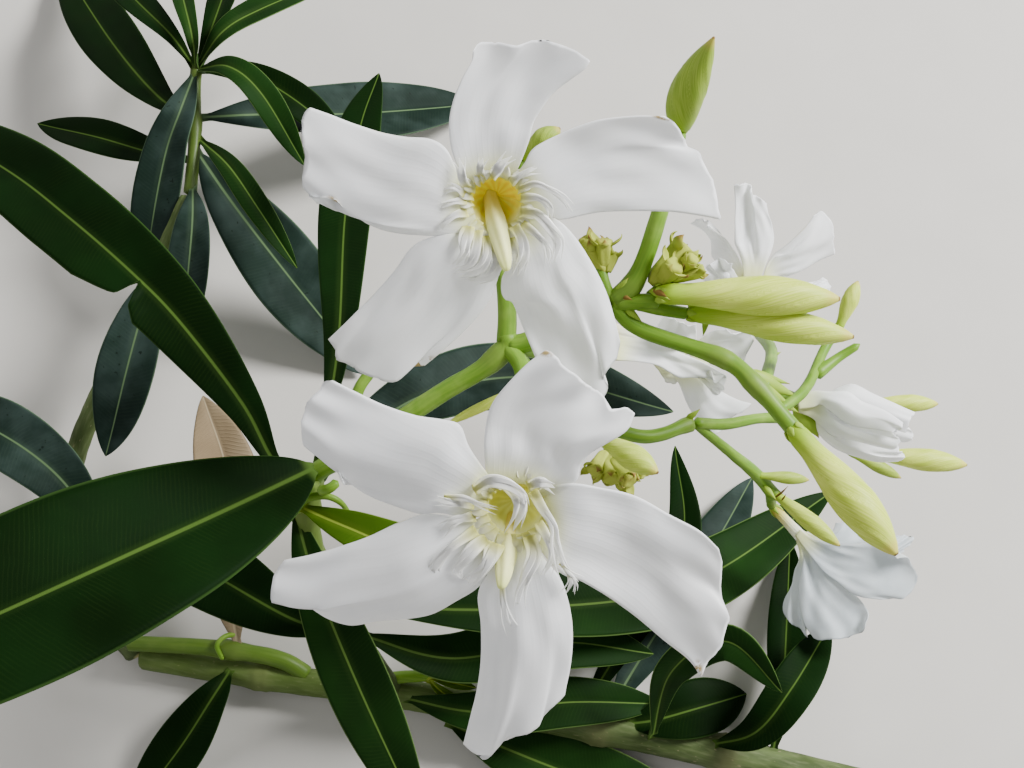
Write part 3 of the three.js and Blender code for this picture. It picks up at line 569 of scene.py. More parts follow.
TORN_EDGE = [(-9, 1), (-5.2, 1), (-2.2, 0.72), (0, 0.03), (0.5, 0.35), (1.2, 0.68), (2.4, 0.76), (4.6, 0.84), (10, 1)]
# A place on the midrib, and how much of one half is left at distances in mm from it.
TEARS = {"leaf_arching": ((137, 284, 82), TORN_EDGE)}


def there_and_back(columns):
    """The columns of a face and then, the other way round, of its back; and 0 or 1 for face or back."""
    forth = np.arange(columns)
    return np.concatenate([forth, forth[::-1]]), np.repeat([0.0, 1.0], columns)[None]


def blade(points, width, roll=0.0, belly=1.2, fold=BLADE_FOLD, wave=0.25, tear=None, seed=3, step=0.9):
    """A leaf. At a share t of its length its half width is (width / 2)(4u(1 - u))^0.8, with u = t^belly,
    or ^0.66 where belly is 1 or less, and its foot is 1 - 4t mm wide. Across it w runs from -1 to 1: the
    top lies fold * half * |w| high, less 0.4 of that all over, with a groove over the midrib, curled edges
    and a slight wave along them. The underside lies one thickness lower, and lower still under the
    midrib. A tear is a place on the midrib and the shares of the half width that are left on one side, at
    distances in mm from there."""
    _, _, length = smooth_curve(points, 2)
    rows = max(16, int(length / (FINEST_STEP if tear else step)))
    line, tangent, _ = smooth_curve(points, rows)
    flat = unit(np.cross(UP, tangent))
    angle = math.radians(roll)
    side = flat * math.cos(angle) + np.cross(tangent, flat) * math.sin(angle)
    normal = np.cross(tangent, side)
    t = np.linspace(0, 1, rows)[:, None]
    u = t**belly
    outline = (width / 2) * np.clip(4 * u * (1 - u), 0, 1) ** (0.8 if belly > 1 else 0.66)
    half = np.maximum(np.maximum(0.1, np.clip(1 - 4 * t, 0, 1)), outline)
    w = np.linspace(-1, 1, BLADE_COLUMNS)
    w = np.sign(w) * np.abs(w) ** 0.9
    across = w * half
    if tear:
        where, edge = tear
        nearest = np.argmin(np.linalg.norm(line - at(where), axis=1))
        across = across * np.where(w > 0, np.interp((t - t[nearest]) * length, *zip(*edge)), 1.0)
    top = half * fold * (np.sqrt(w**2 + 0.012) - 0.4)
    top = top - GROOVE_DEPTH * np.exp(-((across / GROOVE_WIDTH) ** 2)) * np.clip(8 * t * (1 - t), 0, 1)
    top = top - EDGE_CURL * half * np.abs(w) ** 6
    waving = wave * np.abs(w) ** 2 * ripple(t * length * 0.055, np.sign(w) * 0.8, seed)
    top = top + waving * np.clip(half / 4, 0, 1)
    body = BLADE_THICKNESS * (1 - 0.55 * np.abs(w) ** 4) + np.exp(-t * length / 4) * (1 - w**2)
    rib = (RIB_HEIGHT - 0.55 * t) * np.exp(-((across / (RIB_HEIGHT - 0.4 * t)) ** 2))
    under = top - body - rib * np.clip(half / 3, 0, 1)

    def lay(height):
        """Line + side * across + normal * height, half a thickness up."""
        heights = (height + BLADE_THICKNESS / 2)[..., None] * normal[:, None]
        return line[:, None] + across[..., None] * side[:, None] + heights

    both, below = there_and_back(BLADE_COLUMNS)
    marks = {
        "blade": three(t * length, across[:, both], w[both][None]),
        "leaf": three(t, below, (0.17 + 0.0085 * width) * (1 - 0.55 * t)),
    }
    return np.concatenate([lay(top), lay(under)[:, ::-1]], 1), marks


def leaf_finish(name, upper, deep, rib, under, edge, roughness, gloss, dust_and_sheen=0.0, vein_depth=0.0035):
    """Side veins leave the midrib at a slant: they lie where along + 0.5 |across| is a whole number of
    0.8 mm steps. The midrib is as wide as the leaf's own mark says, and its edges are soft."""
    f = Finish(name, roughness, gloss)
    along, across, share = f.mark("blade")
    reach, below, rib_half = f.mark("leaf")
    away = f.calc("ABSOLUTE", across)
    cloud = f.noise(55, 3)
    slant = f.calc("MULTIPLY_ADD", away, 0.5, along)
    veins = f.calc("SINE", f.calc("MULTIPLY_ADD", slant, 2 * math.pi / VEIN_STEP, f.times(f.noise(220, 3), 7.0)))
    veins = f.times(f.band(veins, 0.2, 1.0), f.band(away, 0.3, 0.9))
    colour = f.blend(f.band(cloud, 0.3, 0.72), deep, upper)
    colour = f.wash(colour, rib, f.times(veins, f.band(f.noise(150, 2), 0.3, 0.7)), 0.035)
    # Blue-grey haze: partly dust and partly a painted sheen of sky light; then small dark specks.
    if dust_and_sheen:
        colour = f.wash(colour, "#6d817c", f.band(f.noise(120, 4), 0.35, 0.8), dust_and_sheen)
        colour = f.wash(colour, "#101813", f.band(f.noise(900, 2), 0.69, 0.74), 0.8)
    colour = f.wash(colour, under, below, 0.75)
    colour = f.wash(colour, rib, f.times(f.band(away, 1.4, 0.4), f.band(reach, 0.9, 0.2)), 0.1)
    colour = f.wash(colour, rib, f.band(f.calc("DIVIDE", away, rib_half), 1.3, 0.5), 0.9)
    # A pale rim along the margin: partly the leaf's own paler edge, partly a painted highlight.
    colour = f.wash(colour, edge, f.band(f.calc("ABSOLUTE", share), 0.955, 0.99), 0.75)
    f.colour(f.wash(colour, rib, f.band(along, 2.5, 0.5)))
    f.links.new(f.calc("MULTIPLY_ADD", cloud, 0.2, roughness - 0.1), f.inputs["Roughness"])
    f.bump(f.calc("ADD", veins, f.times(f.noise(1500, 2), 0.35)), vein_depth, 0.7)
    return f


LEAF_FINISHES = {kind: leaf_finish(*spec) for kind, (_, *spec) in LEAF_KINDS.items()}

for i, (name, (kind, places, width, *roll)) in enumerate(LEAVES.items()):
    shape = {"wave": 1.1, "fold": 0.32} if kind == "dry" else {}
    patch = blade(at(places), width, *roll, tear=TEARS.get(name), seed=20 + i, **shape)
    settle(skin(f"{name}_blade", [patch], LEAF_FINISHES[kind]), name)


# The leafy tip of the side shoot. The end of the stem carries its youngest leaves in a loose tuft.
# They grow out of the stem's last joints, slim and pointed, the lowest ones blue-green and dusty.
LEAFY_TIP = (196, 70, 34)
TIP_LEAVES = {  # places along the midrib, width
    "blue": [([LEAFY_TIP, (181, 108, 37), (166, 150, 33), (153, 215, 26), (143, 290, 14)], 10.5)],
    "mid": [
        ([LEAFY_TIP, (228, 66, 42), (262, 94, 40), (305, 166, 28)], 6.6),
        ([LEAFY_TIP, (222, 32, 42), (262, 8, 40), (335, -22, 28)], 7),
        ([LEAFY_TIP, (192, 36, 43), (184, 2, 42), (172, -46, 30)], 5),
    ],
    "dark": [
        ([LEAFY_TIP, (172, 36, 40), (138, 2, 35), (92, -44, 22)], 7.5),
        ([(194, 118, 32), (158, 96, 28), (112, 42, 18), (62, -34, 1.6)], 14),
        ([LEAFY_TIP, (248, 74, 33), (300, 103, 31), (352, 150, 22)], 8),
        ([LEAFY_TIP, (208, 38, 38), (220, 4, 36), (236, -44, 24)], 6.5),
    ],
}
TIP_STEM = [LEFT_JOINT, (195, 130, 32), LEAFY_TIP, (196, 60, 35)]

stem = limb(at(TIP_STEM), (1.5, 1.0), (0.5, 0.93), swelling=0.25, relief=0.03, tone=0.9)
settle(skin("leafy_tip_stem", [stem], sap_green), "leafy_tip")
for i, (kind, leaves) in enumerate(TIP_LEAVES.items()):
    patches = [blade(at(places), width, seed=60 + 10 * i + k) for k, (places, width) in enumerate(leaves)]
    settle(skin(f"leafy_tip_{kind}_blades", patches, LEAF_FINISHES[kind]), "leafy_tip")


# The two open blooms. Five soft white petals each, set like a pinwheel: a narrow claw, a broad blade
# whose end is cut off aslant and ruffled, with one sharp corner. They are joined at the foot to a
# funnel. Matt, faintly bluish in the shade, yellowish at the claw, with a few brown bruised edges.
OPEN_PETALS = {  # first edge, the end between the edges, second edge, arch, crease and, if any, a bruise
    "bloom_upper": [
        (
            [(461, 172), (452, 152), (449, 126), (453, 103), (461, 83), (471, 65), (473, 52)],
            [(481, 44), (504, 44), (517, 47), (528, 42), (546, 41), (558, 45), (576, 51)],
            [(519, 166), (529, 142), (534, 124), (544, 108), (557, 92), (584, 71), (591, 61)],
            -1.35, (-0.1, 0.0, 0.5),
        ),
        (
            [(524, 164), (534, 149), (560, 136), (580, 127), (602, 120), (635, 116), (664, 116)],
            [(675, 123), (684, 137), (691, 149), (701, 154), (706, 167), (714, 182), (717, 200)],
            [(528, 208), (545, 219), (565, 220), (600, 214), (635, 211), (670, 211), (700, 215), (721, 220)],
            -1.5, (0.3, 0.1, -0.4), (0.97, -0.95, 0.05),
        ),
        (
            [(538, 213), (557, 220), (574, 237), (592, 264), (606, 292), (615, 320), (621, 344)],
            [(617, 358), (606, 368), (608, 384), (600, 396), (582, 400), (560, 392)],
            [(508, 262), (502, 280), (503, 297), (513, 304), (522, 325), (533, 352), (546, 380)],
            1.5, (0.3, 0.4, 0.5),
        ),
        (
            [(500, 255), (498, 278), (486, 306), (467, 329), (444, 349), (425, 365)],
            [(413, 365), (405, 373), (393, 376), (374, 371), (360, 366), (352, 360), (338, 357), (336, 344)],
            [(470, 232), (447, 234), (424, 241), (409, 252), (394, 273), (374, 295), (350, 318), (329, 338)],
            1.35, (-0.3, 0.1, -0.5), (0.99, -0.88, 0.1),
        ),
        (
            [(472, 230), (452, 236), (420, 236), (390, 232), (366, 223), (346, 208), (338, 198)],
            [(329, 193), (315, 196), (305, 191), (303, 179), (307, 160), (303, 140), (302, 119)],
            [(458, 170), (446, 149), (430, 140), (405, 139), (380, 135), (352, 126), (328, 116), (308, 108)],
            0.6, (-0.9, -0.1, 1.1), (0.97, -0.98, 0.07),
        ),
    ],
    "bloom_lower": [
        (
            [(488, 484), (484, 452), (486, 424), (492, 404), (506, 385), (526, 365), (545, 351)],
            [(556, 355), (566, 368), (580, 379), (597, 394), (605, 401), (612, 411), (626, 409)],
            [(556, 494), (576, 482), (581, 466), (590, 453), (606, 442), (627, 429), (635, 414)],
            -1.2, (0.0, 0.2, -0.6), (1.0, -0.95, 0.05),
        ),
        (
            [(548, 486), (575, 484), (602, 490), (636, 500), (668, 517), (700, 532), (719, 549)],
            [(723, 566), (722, 590), (725, 606), (730, 618), (725, 633), (723, 647), (714, 662)],
            [(545, 556), (562, 574), (580, 581), (606, 597), (636, 619), (664, 643), (690, 664), (703, 682)],
            -1.35, (-0.1, -0.3, 0.6), (0.96, 0.98, 0.05),
        ),
        (
            [(543, 556), (560, 578), (569, 606), (573, 636), (571, 668), (565, 699)],
            [(552, 708), (545, 713), (539, 724), (526, 729), (510, 732), (500, 743), (486, 757), (476, 754)],
            [(487, 572), (478, 596), (481, 625), (481, 660), (477, 690), (470, 718), (463, 745)],
            0.9, (0.35, 0.15, 0.8),
        ),
        (
            [
                (490, 568), (478, 588), (456, 603), (432, 617), (405, 623), (375, 625), (350, 628), (326, 621),
                (308, 610),
            ],
            [(302, 600), (290, 596), (277, 598), (275, 583), (277, 570)],
            [(474, 520), (450, 517), (425, 516), (400, 525), (370, 539), (340, 549), (310, 557), (284, 561)],
            1.5, (0.5, 0.4, 0.5),
        ),
        (
            [(468, 518), (440, 512), (420, 514), (395, 508), (368, 498), (350, 485), (340, 470), (330, 457)],
            [(318, 449), (306, 444), (305, 428), (308, 408), (311, 398), (321, 390), (326, 380)],
            [(488, 474), (469, 448), (460, 427), (445, 421), (415, 416), (385, 405), (358, 390), (335, 378)],
            1.2, (-0.4, -0.6, -0.6), (0.98, -0.98, 0.05),
        ),
    ],
}
THROAT_RADIUS = 4.2
ROOT_RISE = -1.0
BOWL_LIP = 1.3
LIP_FROM = 4
LIP_TO = 9
BOWL_SINK = 0.6
BOWL_DROOP = 0.006
DROOP_FROM = 14
SIGHT_ROUNDS = 6
PETAL_ROWS = 60
PETAL_COLUMNS = 41
PETAL_THICKNESS = 0.34


def smooth_step(value, low, high):
    """x^2 (3 - 2x), where x runs from 0 at low to 1 at high."""
    x = np.clip((value - low) / (high - low), 0, 1)
    return x * x * (3 - 2 * x)


def off_axis(spots, heart, axis):
    """How far, and in what direction, points lie from a bloom's axis."""
    away = spots - heart
    return away - np.outer(away @ axis, axis)


def on_bloom(bloom, places, lift=0.0):
    """Points of an open bloom in mm: where the sight through (across, down) meets a shallow bowl round its
    axis. At a radius r the bowl stands 1.3 * smooth_step(r, 4, 9) - 0.6 over the heart, less 0.006 (r -
    14)^2 where r is over 14, plus lift. Reading the sight's depth off that height settles in a few rounds."""
    across, down = np.asarray(places, float).T
    sight = sight_through(across, down)
    start = eye - MIDDLE_OF_BRANCH
    heart = at(bloom["heart"])[0]
    axis = bloom_axis(bloom)
    rise = np.zeros(len(across))
    for _ in range(SIGHT_ROUNDS):
        reach = (rise + lift - (start - heart) @ axis) / (sight @ axis)
        spots = start + sight * reach[:, None]
        radius = np.linalg.norm(off_axis(spots, heart, axis), axis=1)
        droop = BOWL_DROOP * np.maximum(0, radius - DROOP_FROM) ** 2
        rise = BOWL_LIP * smooth_step(radius, LIP_FROM, LIP_TO) - BOWL_SINK - droop
    return spots


def throat_rim(bloom, spots, radius, rise):
    """The points of a ring round a bloom's axis that lie in the directions of the given spots."""
    heart = at(bloom["heart"])[0]
    axis = bloom_axis(bloom)
    return heart + unit(off_axis(spots, heart, axis)) * radius + axis * rise


def closed(sheet, push):
    """A closed blade: the sheet moved by the push, then, the other way round, the sheet moved back."""
    return np.concatenate([sheet + push, (sheet - push)[:, ::-1]], 1)


def petal(first, end, second, root, arch=0.0, crease=(0, 0, 0), bruises=(), frill=0.35, uneven=1.0, seed=1):
    """A petal spread between four edges (a Coons patch). s runs from root to end and t from -1 on the
    first edge to 1 on the second. It is then raised along its normal: by arch * (1 - t^2), by a soft
    crease along a line that moves from t = crease[0] to crease[1], by slow ripples and by a frill that
    grows towards the end, and its edges roll back by |t|^10."""
    s = np.linspace(0, 1, PETAL_ROWS)[:, None]
    t = np.linspace(-1, 1, PETAL_COLUMNS)[None]
    s_, u_ = s[..., None], (t[..., None] + 1) / 2
    left, right = (smooth_curve(edge, PETAL_ROWS)[0][:, None] for edge in (first, second))
    far = smooth_curve(end, PETAL_COLUMNS)[0][None]
    near = smooth_curve(root, PETAL_COLUMNS)[0][None] if len(root) > 2 else root[0] + (root[1] - root[0]) * u_
    near_line = (1 - u_) * near[:, :1] + u_ * near[:, -1:]
    far_line = (1 - u_) * far[:, :1] + u_ * far[:, -1:]
    sheet = (1 - s_) * near + s_ * far + (1 - u_) * left + u_ * right - ((1 - s_) * near_line + s_ * far_line)
    along = np.gradient(sheet, axis=0)
    normal = np.cross(along, np.gradient(sheet, axis=1))
    normal = unit(normal * np.sign(-normal.mean((0, 1)) @ forward))
    width = np.linalg.norm(np.diff(sheet, axis=1), axis=2).sum(1)[:, None]
    length = np.linalg.norm(np.diff(sheet, axis=0), axis=2).sum(0).mean()
    free = smooth_step(s, 0.05, 0.45)
    line = crease[0] + (crease[1] - crease[0]) * s
    fold = crease[2] * (0.35 - np.sqrt((t - line) ** 2 + 0.02)) * smooth_step(s, 0.2, 0.7)
    slow = 0.4 * ripple(s * 1.3 + 0.2 * seed, t * 0.7, seed) + 0.14 * ripple(s * 2.6, t * 1.9 + seed, seed + 3)
    ruffle = frill * ripple(t * 1.9, s * 0.6, seed + 9) * smooth_step(s, 0.6, 1) ** 2
    rolled = -0.45 * np.abs(t) ** 10 * (1 - 0.5 * s)
    height = arch * (1 - t**2) * free * (1 - 0.25 * s) + (fold + uneven * slow) * free + ruffle + rolled * free
    sheet = sheet + normal * height[..., None]
    ragged = 0.10 * ripple(t * 6, t * 0, seed + 5) + 0.06 * ripple(t * 15, t * 0, seed + 6)
    sheet = sheet + unit(along) * (ragged * smooth_step(s, 0.9, 1))[..., None]
    half_thick = (PETAL_THICKNESS / 2) * (1 - 0.6 * t**4) * (1 - 0.4 * smooth_step(s, 0.8, 1))
    half_thick = half_thick + 0.2 * (1 - smooth_step(s, 0, 0.2))
    hurt = np.zeros(height.shape)
    for where, edge, size in bruises:
        hurt = np.maximum(hurt, np.exp(-(((s - where) / size) ** 2) - ((t - edge) / (size * 2.5)) ** 2))
    both, behind = there_and_back(PETAL_COLUMNS)
    marks = {
        "petal": three(s, t[:, both], behind),
        "look": three((t * width / 2)[:, both], hurt[:, both], s * length),
    }
    return closed(sheet, normal * half_thick[..., None]), marks


def petal_finish(name, bright, soft):
    """White, clouded with a softer white, yellow-green near the throat. Faint veins fan out from the foot;
    parts of the edge and the bruises that the mesh marks are tan."""
    f = Finish(name, 0.6, 0.2, 0.35)
    grown, over, behind = f.mark("petal")
    across, bruised, distance = f.mark("look")
    wander = f.noise(140, 3)
    fan = f.calc("DIVIDE", across, f.calc("MULTIPLY_ADD", grown, 0.75, 0.35))
    veins = f.calc("SINE", f.calc("MULTIPLY_ADD", wander, 5.0, f.times(fan, 4.2)))
    veins = f.times(f.band(veins, 0.2, 1.0), f.band(grown, 1.0, 0.45))
    colour = f.blend(f.band(wander, 0.3, 0.75), bright, soft)
    colour = f.wash(colour, "#d6d9cf", veins, 0.04)
    colour = f.wash(colour, "#e3e8cf", f.band(behind, 0.4, 0.6), 0.2)
    colour = f.wash(colour, "#dcdf9a", f.band(distance, 6.5, 1.0), 0.85)
    edge = f.band(f.calc("ABSOLUTE", over), 0.985, 1.0)
    colour = f.wash(colour, "#c9b878", f.times(edge, f.band(f.noise(210, 2), 0.56, 0.68)), 0.45)
    spot = f.times(bruised, f.band(f.noise(700, 3), 0.3, 0.55))
    f.colour(f.wash(colour, "#8f7434", f.band(spot, 0.25, 0.75)))
    f.bump(f.calc("ADD", veins, f.times(f.noise(2600, 2), 0.5)), 0.015, 0.4)
    return f


white = petal_finish("white_petal", "#fafbfc", "#f1f3f6")

for name, seed in (("bloom_upper", 11), ("bloom_lower", 37)):
    bloom = BLOOMS[name]
    patches = []
    for i, (first, end, second, arch, crease, *bruises) in enumerate(OPEN_PETALS[name]):
        edges = first, [first[-1], *end, second[-1]], second
        first, end, second = (on_bloom(bloom, edge) for edge in edges)
        middle = (first[0] + second[0]) / 2
        root = throat_rim(bloom, np.array([first[0], middle, second[0]]), THROAT_RADIUS, ROOT_RISE)
        first, second = np.vstack([root[0], first]), np.vstack([root[-1], second])
        patches.append(petal(first, end, second, root, arch, crease, bruises, seed=seed + 7 * i))
    settle(skin(f"{name}_petals", patches, white), name)


# The funnels. Each bloom's petals join in a slim tube that opens to a funnel, white-green outside and
# golden or yellow-green inside, with darker lines down its wall. Five small green sepals clasp its foot.
FUNNEL_OUTSIDE = [(1, 1.2), (0.95, 1.9), (0.8, 1.9), (0.55, 2.3), (0.3, 3.6), (0.08, 4.7), (0.03, 4.75)]
FUNNEL_INSIDE = [(0.02, 4.4), (0.06, 3.9), (0.1, 3.2), (0.15, 2.3), (0.175, 0.3)]
TUBE_RADIUS = 1.9
MOUTH_RADIUS = 4.75
SEPAL_LENGTH = 3.6
PALE_FUNNEL = ("#eef0d8", "#eef0dc", "#f4f5ec", "#dfe3bc")
FUNNELS = {  # finish: name, upper wall, lower wall, rim, lines, outside of the foot, where that ends
    "bloom_upper": ("golden_funnel", "#ffef12", "#e3dd52", "#f1ecb0", "#e6bf00", "#c9d67c", 0.28),
    "bloom_lower": ("green_funnel", "#ecea68", "#e6e77e", "#f0f2ba", "#d0cc4e", "#c9d67c", 0.28),
    "pale": ("pale_funnel", *PALE_FUNNEL, "#d2c67a", 0.28),
    "fading": ("fading_funnel", *PALE_FUNNEL, "#c6bc3c", 0.46),
}


def turned(vector, axis, degrees):
    """The vector turned about an axis: v cos a + (k x v) sin a + k (k . v)(1 - cos a)."""
    angle = math.radians(degrees)
    square = vector * math.cos(angle) + np.cross(axis, vector) * math.sin(angle)
    return square + axis * np.dot(axis, vector) * (1 - math.cos(angle))


def bloom_spoke(bloom, degrees):
    """A direction square to the axis, in degrees clockwise as seen by one who looks into the throat."""
    start = bloom["lean_to"] + 90
    return turned(on_screen(start), bloom_axis(bloom), start - degrees)


def funnel_profile(length, slim, wide):
    """The outline of a funnel whose tube is slim and whose mouth is wide: a radius under TUBE_RADIUS is
    scaled to slim, and what is over it is spread between slim and wide."""
    share, radius = np.array(FUNNEL_OUTSIDE + FUNNEL_INSIDE).T
    over = (radius - TUBE_RADIUS) / (MOUTH_RADIUS - TUBE_RADIUS)
    radius = np.where(over < 0, radius * slim / TUBE_RADIUS, slim + (wide - slim) * over)
    return np.column_stack([-share * length, radius])


def turned_shell(foot, axis, side, profile, around=40, rows=46, lobes=0, depth=0.0, twist=0.0):
    """A surface of revolution: the profile is (height up the axis, radius), smoothed, and the radius is
    times 1 + depth * cos(lobes * (angle + twist * height)). Its mark runs from 0 at the foot to 0.5 at the
    highest row, and on to 1 down the inside."""
    curve, _, _ = smooth_curve(profile, rows)
    angle = full_turn(around)
    height = curve[:, :1]
    radius = np.maximum(curve[:, 1:], 0.03) * (1 + depth * np.cos(lobes * (angle + twist * height)))
    surface = foot + axis * height[..., None] + radius[..., None] * spokes(angle, side, np.cross(axis, side))
    row = np.arange(rows)[:, None]
    rim = np.argmax(height)
    share = np.where(row <= rim, 0.5 * row / rim, 0.5 + 0.5 * (row - rim) / max(1, rows - 1 - rim))
    return surface, {"shell": three(share, angle[None], height)}


def funnel_finish(name, upper, lower, rim, lines, foot, foot_ends):
    """Inside, the wall turns from the lower to the upper colour with the sine of the angle round the axis,
    and fifteen lines run down it. Outside, the foot's colour ends at that share."""
    f = Finish(name, 0.55, 0.15, 0.5)
    share, angle, _ = f.mark("shell")
    line = f.calc("MULTIPLY_ADD", f.calc("SINE", f.times(angle, 15)), 0.5, 0.5)
    upper_side = f.band(f.calc("SINE", angle), -0.5, 0.35)
    wall = f.blend(upper_side, lower, upper)
    wall = f.wash(wall, lines, f.band(share, 0.6, 0.8), f.times(line, 0.4))
    wall = f.wash(wall, rim, f.band(f.calc("MULTIPLY_ADD", upper_side, 0.14, share), 0.74, 0.58))
    outside = f.blend(f.band(share, 0.03, foot_ends), foot, "#eceedd")
    f.colour(f.blend(f.band(share, 0.49, 0.52), outside, wall))
    f.bump(line, 0.08, 0.5)
    return f


FUNNEL_FINISHES = {key: funnel_finish(*spec) for key, spec in FUNNELS.items()}
sepal_green = Finish("sepal", 0.5, 0.2)
grown, _, _ = sepal_green.mark("petal")
colour = sepal_green.blend(sepal_green.noise(500, 2), "#7f9f2a", "#9cb544")
sepal_green.colour(sepal_green.wash(colour, "#8a7436", sepal_green.band(grown, 0.84, 1.0)))
sepal_green.bump(grown, 0.05, 0.4)


def scale_blade(foot, tip, bulge, width, thickness=0.26, rows=12, columns=7, point=1.3):
    """A small pointed scale: half width (width / 2) (1 - s^point) over a line that bows by bulge * 4s(1 - s)
    from its foot to its tip, narrowed to 55 % at the foot and hollowed by 0.3 t^2 of its half width."""
    s = np.linspace(0, 1, rows)[:, None]
    t = np.linspace(-1, 1, columns)
    line = foot + (tip - foot) * s + bulge * (4 * s * (1 - s))
    tangent = unit(np.gradient(line, axis=0))
    rise = unit(bulge - np.dot(bulge, unit(tip - foot)) * unit(tip - foot))
    side = unit(np.cross(tangent, rise))
    normal = np.cross(side, tangent)[:, None]
    half = np.maximum(0.05, (width / 2) * (1 - s**point) * (0.55 + 0.45 * smooth_step(s, 0, 0.3)))
    sheet = line[:, None] + side[:, None] * (t * half)[..., None] - normal * (0.3 * t**2 * half)[..., None]
    half_thick = (thickness / 2) * (1 - 0.7 * t**2) * (1 - 0.6 * s)
    both, behind = there_and_back(columns)
    return closed(sheet, normal * half_thick[..., None]), {"petal": three(s, t[both][None], behind)}


def sepals(foot, axis, side, radius, length, spread=0.25, turn=0.0, width=2.0):
    """Five scales round an axis, each from radius to radius * (1 + spread), bowed outwards."""
    made = []
    for i in range(5):
        out = turned(side, axis, turn + 72 * i)
        low = foot + out * radius
        high = foot + out * radius * (1 + spread) + axis * length
        made.append(scale_blade(low, high, out * length * 0.12, width))
    return made


for name in ("bloom_upper", "bloom_lower"):
    bloom = BLOOMS[name]
    axis, side = bloom_axis(bloom), bloom_spoke(bloom, 0)
    profile = funnel_profile(bloom["tube"], TUBE_RADIUS, MOUTH_RADIUS)
    shell = turned_shell(at(bloom["heart"])[0], axis, side, profile, around=60, rows=70)
    settle(skin(f"{name}_funnel", [shell], FUNNEL_FINISHES[name]), name)
    clasp = sepals(bloom_foot(bloom), axis, side, radius=1.2, length=SEPAL_LENGTH, spread=0.9, width=2.2)
    settle(skin(f"{name}_sepals", clasp, sepal_green), name)


# The crowns and the anthers. On the rim of each throat stands a fringe of soft white plumes, one torn
# scale before each petal, which curl outwards or hook back. Five pale yellow anthers lean out of the
# funnel, joined in a slim twisted cone.
PLUMES = {  # width, places along the plume: across, down, lift off the bowl
    "bloom_upper": [
        (1.7, [(466, 188, 0.3), (462, 177, 1.2), (461, 166, 1.0), (459, 158, 0.6)]),
        (1.6, [(480, 176, 0.3), (480, 167, 1.0), (483, 158, 0.6)]),
        (1.9, [(492, 177, 0.3), (497, 170, 1.5), (503, 163, 1.2), (512, 156, 0.6)]),
        (1.4, [(511, 182, 0.3), (519, 176, 1.1), (528, 171, 1.0), (537, 168, 0.5)]),
        (1.0, [(518, 189, 0.5), (535, 184, 1.3), (550, 190, 1.5), (563, 199, 1.5), (573, 212, 0.9)]),
        (1.3, [(521, 198, 0.5), (538, 198, 1.3), (549, 206, 1.4), (552, 220, 0.8)]),
        (1.9, [(520, 212, 0.5), (536, 214, 1.5), (550, 228, 2.0), (558, 243, 1.7), (554, 263, 0.9)]),
        (1.3, [(522, 224, 0.5), (538, 236, 1.4), (547, 248, 1.6), (549, 262, 0.9)]),
        (1.9, [(514, 226, 0.5), (522, 240, 1.7), (524, 256, 1.7), (517, 277, 0.9)]),
        (1.2, [(511, 238, 0.7), (515, 256, 1.6), (513, 275, 1.0)]),
        (2.2, [(469, 226, 0.4), (465, 240, 1.5), (464, 253, 1.5), (456, 265, 0.8)]),
        (1.8, [(478, 230, 0.4), (476, 249, 1.7), (470, 264, 1.5), (455, 272, 0.8)]),
        (1.8, [(486, 236, 0.5), (487, 256, 1.9), (478, 271, 1.6), (459, 277, 0.8)]),
        (2.0, [(491, 240, 0.6), (497, 260, 2.0), (491, 276, 1.8), (469, 281, 0.9)]),
        (1.5, [(467, 212, 0.3), (455, 215, 1.0), (446, 222, 0.9), (438, 230, 0.5)]),
        (1.3, [(466, 200, 0.3), (453, 202, 0.9), (441, 208, 0.5)]),
        (1.4, [(465, 193, 0.3), (454, 187, 0.9), (444, 189, 0.5)]),
    ],
    "bloom_lower": [
        (2.0, [(474, 490, 0.4), (490, 481, 2.2), (509, 485, 3.0), (523, 497, 2.8), (527, 512, 1.8)]),
        (2.0, [(504, 483, 1.5), (518, 497, 2.4), (520, 513, 2.2), (513, 531, 1.4)]),
        (0.9, [(444, 497, 0.6), (464, 498, 1.5), (482, 505, 2.2), (498, 510, 2.0)]),
        (1.4, [(532, 490, 0.5), (542, 508, 1.7), (554, 526, 1.9), (556, 541, 1.6), (562, 562, 1.4), (570, 576, 0.9)]),
        (0.6, [(560, 563, 1.3), (570, 574, 1.4), (579, 582, 0.8)]),
        (0.6, [(566, 570, 1.2), (571, 582, 1.3), (565, 595, 0.7)]),
        (0.5, [(568, 572, 1.2), (575, 583, 1.2), (573, 592, 0.8)]),
        (1.3, [(538, 522, 0.4), (548, 540, 1.5), (552, 557, 1.5), (544, 575, 0.8)]),
        (2.2, [(529, 536, 0.5), (534, 554, 1.7), (527, 573, 1.6), (520, 590, 1.2), (518, 607, 0.7)]),
        (0.9, [(502, 580, 1.0), (503, 600, 1.2), (507, 618, 1.1), (516, 634, 0.7)]),
        (2.1, [(486, 538, 0.4), (474, 548, 1.6), (464, 560, 1.6), (457, 572, 1.2), (464, 580, 0.8)]),
        (1.6, [(476, 530, 0.4), (456, 544, 1.7), (442, 557, 1.7), (434, 570, 1.3), (430, 585, 0.7)]),
        (2.6, [(495, 543, 0.6), (489, 560, 1.8), (480, 573, 1.5), (468, 583, 0.8)]),
        (1.5, [(475, 516, 0.3), (456, 520, 1.2), (440, 531, 0.6)]),
        (1.4, [(474, 504, 0.3), (454, 503, 1.1), (434, 500, 0.6)]),
        (1.8, [(528, 486, 0.5), (541, 482, 1.2), (555, 488, 0.6)]),
    ],
}
# How many plumes stand round the rim, the least and the most they grow, and how white they turn.
COLLAR = {"bloom_upper": (22, 0.6, 1.5, 0.6), "bloom_lower": (22, 0.7, 1.6, 0.42)}
# Places of the cone in the throat and of its tip, and its outline: share of its height, radius.
ANTHER_CONES = {"bloom_upper": ((488, 194), (507, 271)), "bloom_lower": ((512, 520), (501, 589))}
ANTHER_PROFILE = np.array([(0, 0.9), (0.25, 1.1), (0.5, 1.45), (0.8, 1.15), (0.97, 0.6), (1, 0.1)])


